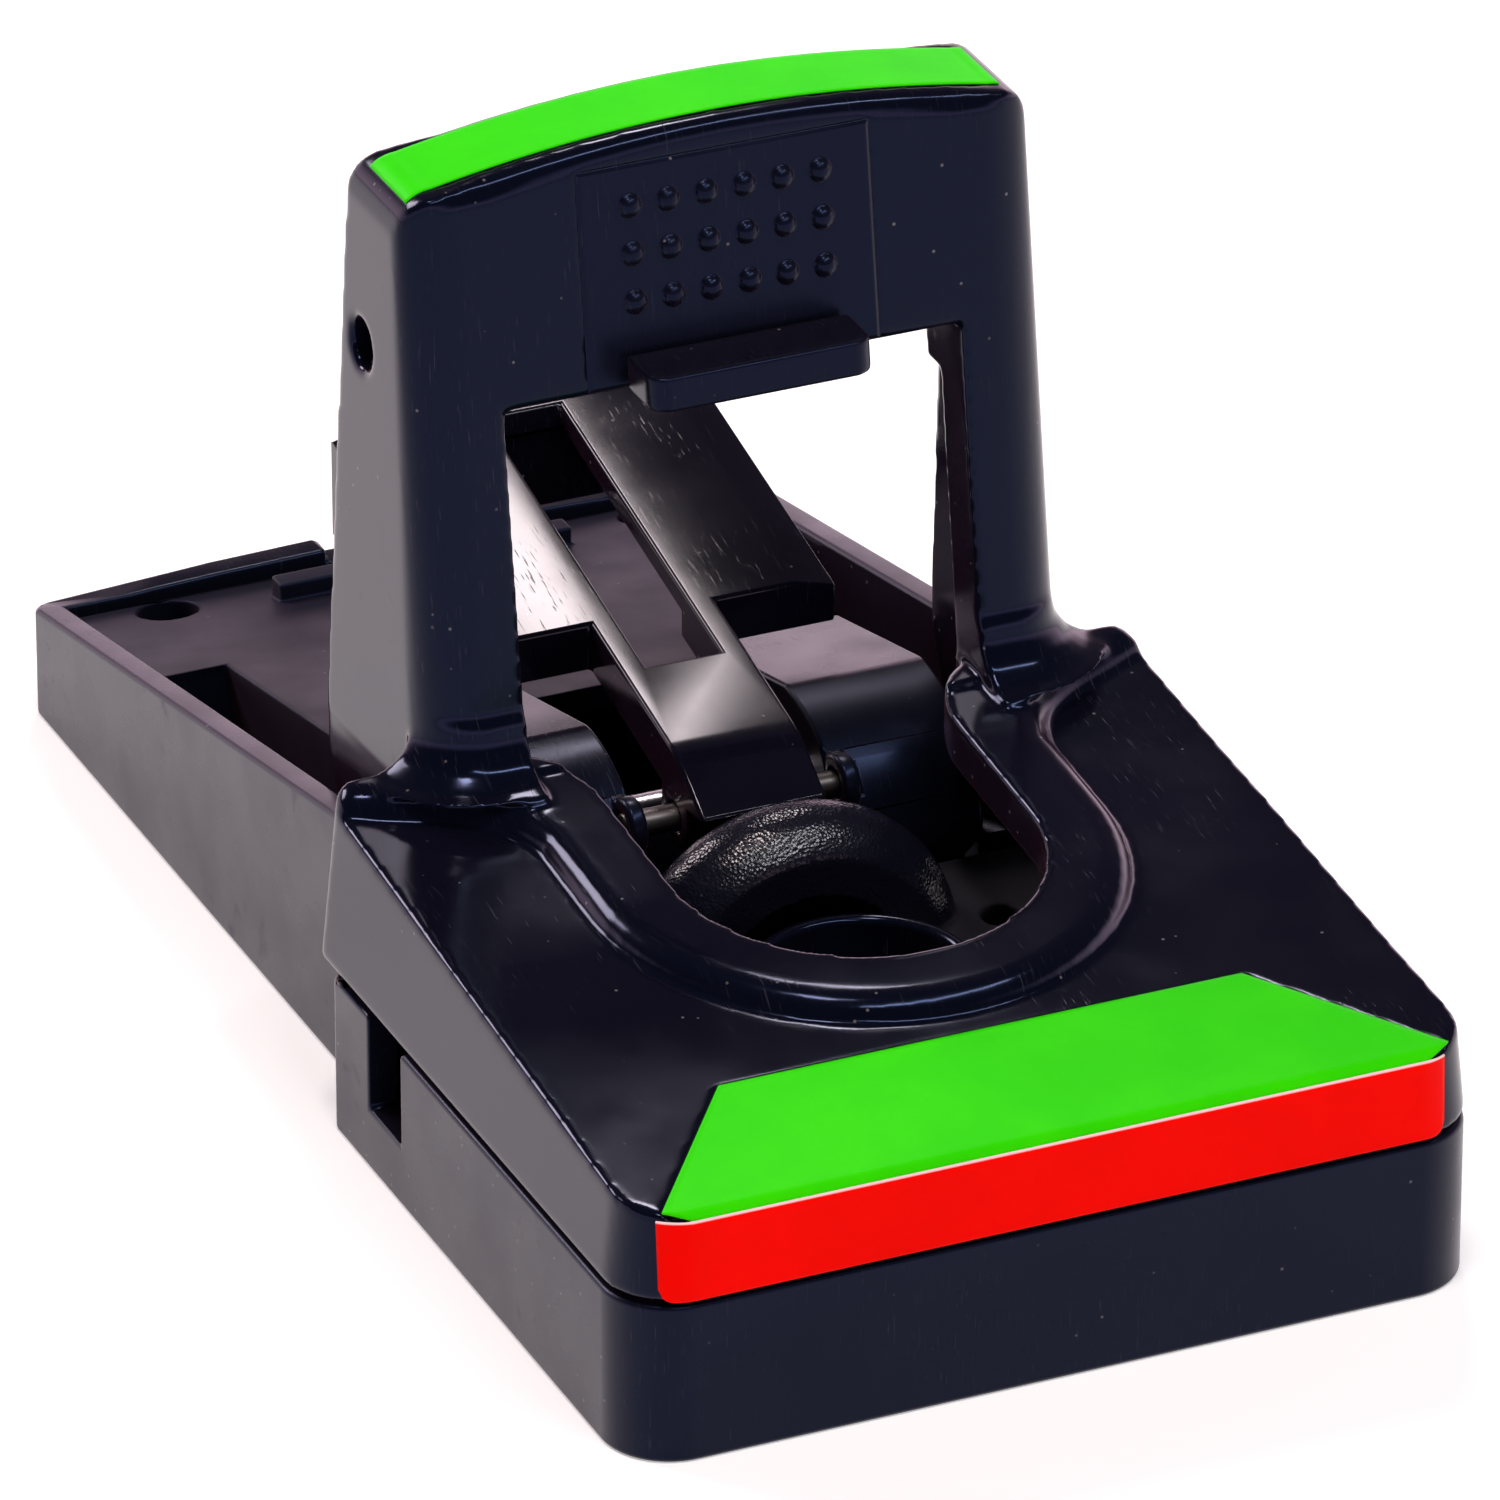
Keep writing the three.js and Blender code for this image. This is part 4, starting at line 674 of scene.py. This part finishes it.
# piece, CAD node, width of its edges' rounding in mm, body, slot, finish
EDGED = (
    ("base_tub_cast", "base_tub", 0.3, "base", "black_plastic", black),
    ("tray_deck_cast", "tray_deck", 0.2, "base", "black_plastic", matte),
    ("spring_cover_right_cast", "spring_cover_right", 0.25, "base", "black_plastic", black),
    ("spring_cover_left_cast", "spring_cover_left", 0.25, "base", "black_plastic", black),
    ("treadle_cast", "treadle", 0.25, "treadle", "glossy_black_plastic", trigger),
    ("catch_yoke_cast", "catch_yoke", 0.15, "catch", "black_plastic", black),
)
for name, node, width, body, slot, material in EDGED:
    finish(edged(name, node, width), [node], body, material)

# ---- grip pad -----------------------------------------------------------------------------


def make_grip_pad():
    """A height over the leaning face: a low plateau with soft edges, and 6 by 3 round bumps,
    each a share of sqrt(r^2 - d^2) high at a distance d from its middle."""
    half, low, high = PAD_HALF + PAD_LAP, PAD_BOTTOM, PAD_TOP + PAD_LAP
    columns, rows = PAD_GRID
    x, z = np.meshgrid(np.linspace(-half, half, columns), np.linspace(low, high, rows))
    to_edge = np.minimum(half - np.abs(x), np.minimum(z - low, high - z))
    height = PAD_PROUD * smoothstep(0, PAD_EDGE, to_edge)
    last = BUMP_COLUMNS // 2 - 1
    column = np.clip(np.round(x / BUMP_PITCH[0] - 0.5), -last - 1, last) + 0.5
    row = np.clip(np.round((z - BUMP_FIRST_Z) / BUMP_PITCH[1]), 0, BUMP_ROWS - 1)
    apart = (x - column * BUMP_PITCH[0]) ** 2 + (z - BUMP_FIRST_Z - row * BUMP_PITCH[1]) ** 2
    height = height + BUMP_FLATTENING * np.sqrt(np.clip(BUMP_RADIUS ** 2 - apart, 0, None))
    points = np.stack([x, frame_front(z) - height + PAD_SINK, z], axis=-1)
    return sheet("grip_pad_face", points, PAD_SHEET)


finish(make_grip_pad(), ["grip_pad"], "jaw", black)

# ---- labels, plain coloured vinyl ------------------------------------------------------------


def make_green_label():
    """Down the slope and round the nose to the fold; the width grows in a straight line."""
    flat = np.linspace(GREEN_REAR, NOSE_RADIUS, GREEN_SLOPE_ROWS)
    turn = np.radians(np.linspace(0, FOLD_ANGLE, GREEN_FOLD_ROWS))[1:]
    reach = NOSE_RADIUS + LABEL_LIFT
    centre_z = pedal_top(NOSE_RADIUS) - NOSE_RADIUS
    y = np.concatenate([flat, NOSE_RADIUS - reach * np.sin(turn)])
    z = np.concatenate([pedal_top(flat) + LABEL_LIFT, centre_z + reach * np.cos(turn)])
    share = np.clip((GREEN_REAR - y) / (GREEN_REAR - NOSE_RADIUS), 0, 1)
    half = GREEN_HALF_REAR + (GREEN_HALF_FRONT - GREEN_HALF_REAR) * share
    half = np.minimum(half, pedal_half(y, z) - LABEL_LIFT)
    across = np.linspace(-1, 1, GREEN_COLUMNS)[None]
    rows = [half[:, None] * across, *(np.repeat(v[:, None], GREEN_COLUMNS, 1) for v in (y, z))]
    return sheet("pedal_label_sheet", np.stack(rows, -1), LABEL_THICK)


def make_red_label():
    """The front face and part of both corner circles, its upper edge rolled on to the nose,
    its lower corners quarter circles."""
    columns, rows = RED_GRID
    x, share = np.meshgrid(np.linspace(RED_LEFT, RED_RIGHT, columns), np.linspace(0, 1, rows))
    to_end = np.minimum(x - RED_LEFT, RED_RIGHT - x)
    inward = np.clip(RED_CORNER - to_end, 0, RED_CORNER)
    low = RED_BOTTOM + RED_CORNER - np.sqrt(RED_CORNER ** 2 - inward ** 2)
    z = RED_TOP + (low - RED_TOP) * share
    past = np.clip(np.abs(x) / pedal_draft(z) - (HALF_WIDTH - PEDAL_CORNER), 0, PEDAL_CORNER)
    corner = PEDAL_CORNER - np.sqrt(PEDAL_CORNER ** 2 - past ** 2)
    over = np.clip(z - (pedal_top(NOSE_RADIUS) - NOSE_RADIUS), 0, NOSE_RADIUS)
    nose = NOSE_RADIUS - np.sqrt(NOSE_RADIUS ** 2 - over ** 2)
    points = np.stack([x, np.maximum(corner, nose) - LABEL_LIFT, z], -1)
    return sheet("front_label_sheet", points, LABEL_THICK)


def make_top_label():
    """A strip over the arched crown, its left end running on to the shoulder."""
    columns, rows = TOP_LABEL_GRID
    across = np.linspace(*TOP_LABEL_ENDS, columns)
    along = np.linspace(TOP_LABEL_FRONT, TOP_LABEL_REAR, rows)
    x, y = np.meshgrid(across, along)
    return sheet("top_label_sheet", np.stack([x, y, crown(x) + LABEL_LIFT], -1), LABEL_THICK)


finish(make_green_label(), ["pedal_label"], "jaw", green)
finish(make_red_label(), ["front_label"], "jaw", red)
finish(make_top_label(), ["top_label"], "jaw", green)

# ---- bait cup -----------------------------------------------------------------------------


def make_cup():
    """A turned cup: foot, wall and a rolled rim that is half a circle across the wall."""
    turn = np.linspace(0, math.pi, CUP_RIM_STEPS)
    rim_radius = CUP_WALL / 2
    rim = np.stack([
        CUP_RADIUS - rim_radius + rim_radius * np.cos(turn),
        CUP_TOP - rim_radius + rim_radius * np.sin(turn),
    ], axis=1)
    low_edge, high_edge = CUP_FOOT_EDGES
    inner, floor = CUP_RADIUS - CUP_WALL, CUP_FLOOR + CUP_WALL
    profile = np.concatenate([
        [(0, CUP_BOTTOM), (CUP_FOOT_RADIUS - low_edge, CUP_BOTTOM)],
        [(CUP_FOOT_RADIUS, CUP_BOTTOM + low_edge), (CUP_FOOT_RADIUS, CUP_FLOOR - high_edge)],
        [(CUP_FOOT_RADIUS - high_edge, CUP_FLOOR), (CUP_RADIUS, CUP_FLOOR)],
        rim,
        [(inner, floor + CUP_INSIDE_EDGE), (inner - CUP_INSIDE_EDGE, floor), (0, floor)],
    ])
    return lathe("bait_cup_turned", profile, (0, CUP_Y, 0), "z", CUP_SIDES)


finish(make_cup(), ["bait_cup"], "cup", glossy)

# ---- axle, pins, clips and springs --------------------------------------------------------


def rounded_rod(radius, half):
    """Half the outline of a rod whose end edges are quarter circles."""
    turn = np.linspace(0, math.pi / 2, ROD_EDGE_STEPS)
    low = np.stack([
        radius - ROD_EDGE + ROD_EDGE * np.sin(turn),
        -half + ROD_EDGE - ROD_EDGE * np.cos(turn),
    ], axis=1)
    high = (low * (1, -1))[::-1]
    return np.concatenate([[(0, -half)], low, high, [(0, half)]])


# piece, CAD node, place (y, z), radius, half length, finish
RODS = (
    ("main_axle_rod", "main_axle", AXLE, AXLE_RADIUS, AXLE_HALF, zinc),
    # both pins take the darker steel, which is partly painted shade
    ("treadle_pin_rod", "treadle_pin", TREADLE_PIN, TREADLE_PIN_RADIUS, TREADLE_PIN_HALF, pin_dark_and_shade),
    ("catch_pin_rod", "catch_pin", CATCH_PIN, CATCH_PIN_RADIUS, CATCH_PIN_HALF, pin_dark_and_shade),
)
for name, node, (y, z), radius, half, material in RODS:
    rod = lathe(name, rounded_rod(radius, half), (0, y, z), "x", ROD_SIDES)
    finish(rod, [node], "base", material)


def make_clip(name, side):
    """A flat washer, a closed ring profile turned about the axle."""
    inner, outer = CLIP_INNER, CLIP_INNER + CLIP_THICK
    shoulder = CLIP_RADIUS - CLIP_EDGE
    profile = np.array([
        (CLIP_BORE, inner),
        (shoulder, inner),
        (CLIP_RADIUS, inner + CLIP_EDGE),
        (CLIP_RADIUS, outer - CLIP_EDGE),
        (shoulder, outer),
        (CLIP_BORE, outer),
        (CLIP_BORE, inner),
    ]) * (1, side)
    return lathe(name, profile, (0, *AXLE), "x", CLIP_SIDES)


def spring_path(side):
    """A leg along the floor, a helix whose angle and place both grow evenly, a short end."""
    turn = np.linspace(0, SPRING_TURNS, COIL_STEPS * SPRING_TURNS + 1)
    angle = -math.pi / 2 - 2 * math.pi * turn
    helix = np.stack([
        SPRING_START + SPRING_PITCH * turn,
        AXLE[0] + SPRING_MEAN_RADIUS * np.cos(angle),
        AXLE[1] + SPRING_MEAN_RADIUS * np.sin(angle),
    ], axis=1)
    back = np.linspace(SPRING_LEG, SPRING_WIRE / 2, LEG_STEPS)[:, None] * (0, 1, 0)
    end = np.linspace(SPRING_WIRE / 2, 2 * SPRING_WIRE, END_STEPS)[:, None] * (0, -1, 0)
    return np.concatenate([helix[0] + back, helix, helix[-1] + end]) * (side, 1, 1)


for side, hand in ((1, "right"), (-1, "left")):
    clip = make_clip(f"axle_clip_{hand}_ring", side)
    finish(clip, [f"axle_clip_{hand}"], "base", zinc)
    coil = tube(f"jaw_spring_{hand}_wire", spring_path(side), SPRING_WIRE / 2)
    finish(coil, [f"jaw_spring_{hand}"], "base", wire)

# ---- camera -------------------------------------------------------------------------------


def make_camera():
    """A long lens at the photograph's angle: world = R^T (q - t), R's rows being the camera's
    right, up and back."""
    turn, lift = math.radians(CAMERA_AZIMUTH), math.radians(CAMERA_ELEVATION)
    right = np.array([math.cos(turn), math.sin(turn), 0.0])
    back = np.array([math.sin(turn) * math.cos(lift), -math.cos(turn) * math.cos(lift), math.sin(lift)])
    up = np.cross(back, right)
    rows = np.array([right, up, back])
    spot = place(rows.T @ -np.array(CAMERA_SHIFT))
    data = bpy.data.cameras.new("camera")
    data.lens = CAMERA_LENS
    data.sensor_width = CAMERA_SENSOR
    data.clip_start, data.clip_end = CAMERA_CLIP
    camera = link("camera", data)
    camera.matrix_world = Matrix([[*rows[:, k], spot[k]] for k in range(3)] + [[0, 0, 0, 1]])
    bpy.context.scene.camera = camera


make_camera()

# ---- studio -------------------------------------------------------------------------------


def lamp(name, spot, aim, size, power, colour, spin):
    """A flat panel that faces its aim, turned in its own plane by spin degrees."""
    data = bpy.data.lights.new(name, "AREA")
    data.shape = "RECTANGLE"
    data.size, data.size_y = size
    data.energy = power
    data.color = colour
    panel = link(name, data)
    panel.location = spot
    facing = (Vector(aim) - Vector(spot)).to_track_quat("-Z", "Y")
    panel.rotation_euler = (facing @ Quaternion((0, 0, 1), math.radians(spin))).to_euler()


def make_floor():
    """A pale floor that keeps the shadow. What camera, mirrored and transmitted rays see of it
    is lifted to white by an even glow, added to the light it scatters."""
    ways = ((-1, -1), (1, -1), (1, 1), (-1, 1))
    mesh = bpy.data.meshes.new("floor")
    mesh.from_pydata([(FLOOR_HALF * x, FLOOR_HALF * y, 0) for x, y in ways], [], [(0, 1, 2, 3)])
    floor = link("floor", mesh)
    material, tree, shader = start("floor")
    shader.inputs["Base Color"].default_value = (FLOOR_GREY, FLOOR_GREY, FLOOR_GREY, 1)
    shader.inputs["Roughness"].default_value = FLOOR_ROUGHNESS
    shader.inputs["Emission Color"].default_value = (1, 1, 1, 1)
    ray = add(tree, "ShaderNodeLightPath")
    seen = ray.outputs["Is Camera Ray"]
    for other in ("Is Glossy Ray", "Is Transmission Ray"):
        seen = add_math(tree, "MAXIMUM", seen, ray.outputs[other])
    tree.links.new(add_math(tree, "MULTIPLY", seen, FLOOR_GLOW), shader.inputs["Emission Strength"])
    mesh.materials.append(material)


def make_world():
    """Bright near the horizon and dark overhead, as a low wrap of white card would be."""
    world = bpy.data.worlds.new("world")
    bpy.context.scene.world = world
    world.use_nodes = True
    tree = world.node_tree
    spot = add(tree, "ShaderNodeTexCoord")
    split = add(tree, "ShaderNodeSeparateXYZ")
    tree.links.new(spot.outputs["Generated"], split.inputs["Vector"])
    low = remap(tree, split.outputs["Z"], *HORIZON_EDGE)
    colour = mix_colour(tree, low, OVERHEAD_COLOUR, HORIZON_COLOUR)
    tree.links.new(colour, tree.nodes["Background"].inputs["Color"])
    tree.nodes["Background"].inputs["Strength"].default_value = 1.0


make_floor()
make_world()
for settings in LAMPS:
    lamp(*settings)

bpy.context.scene.view_settings.view_transform = "Standard"
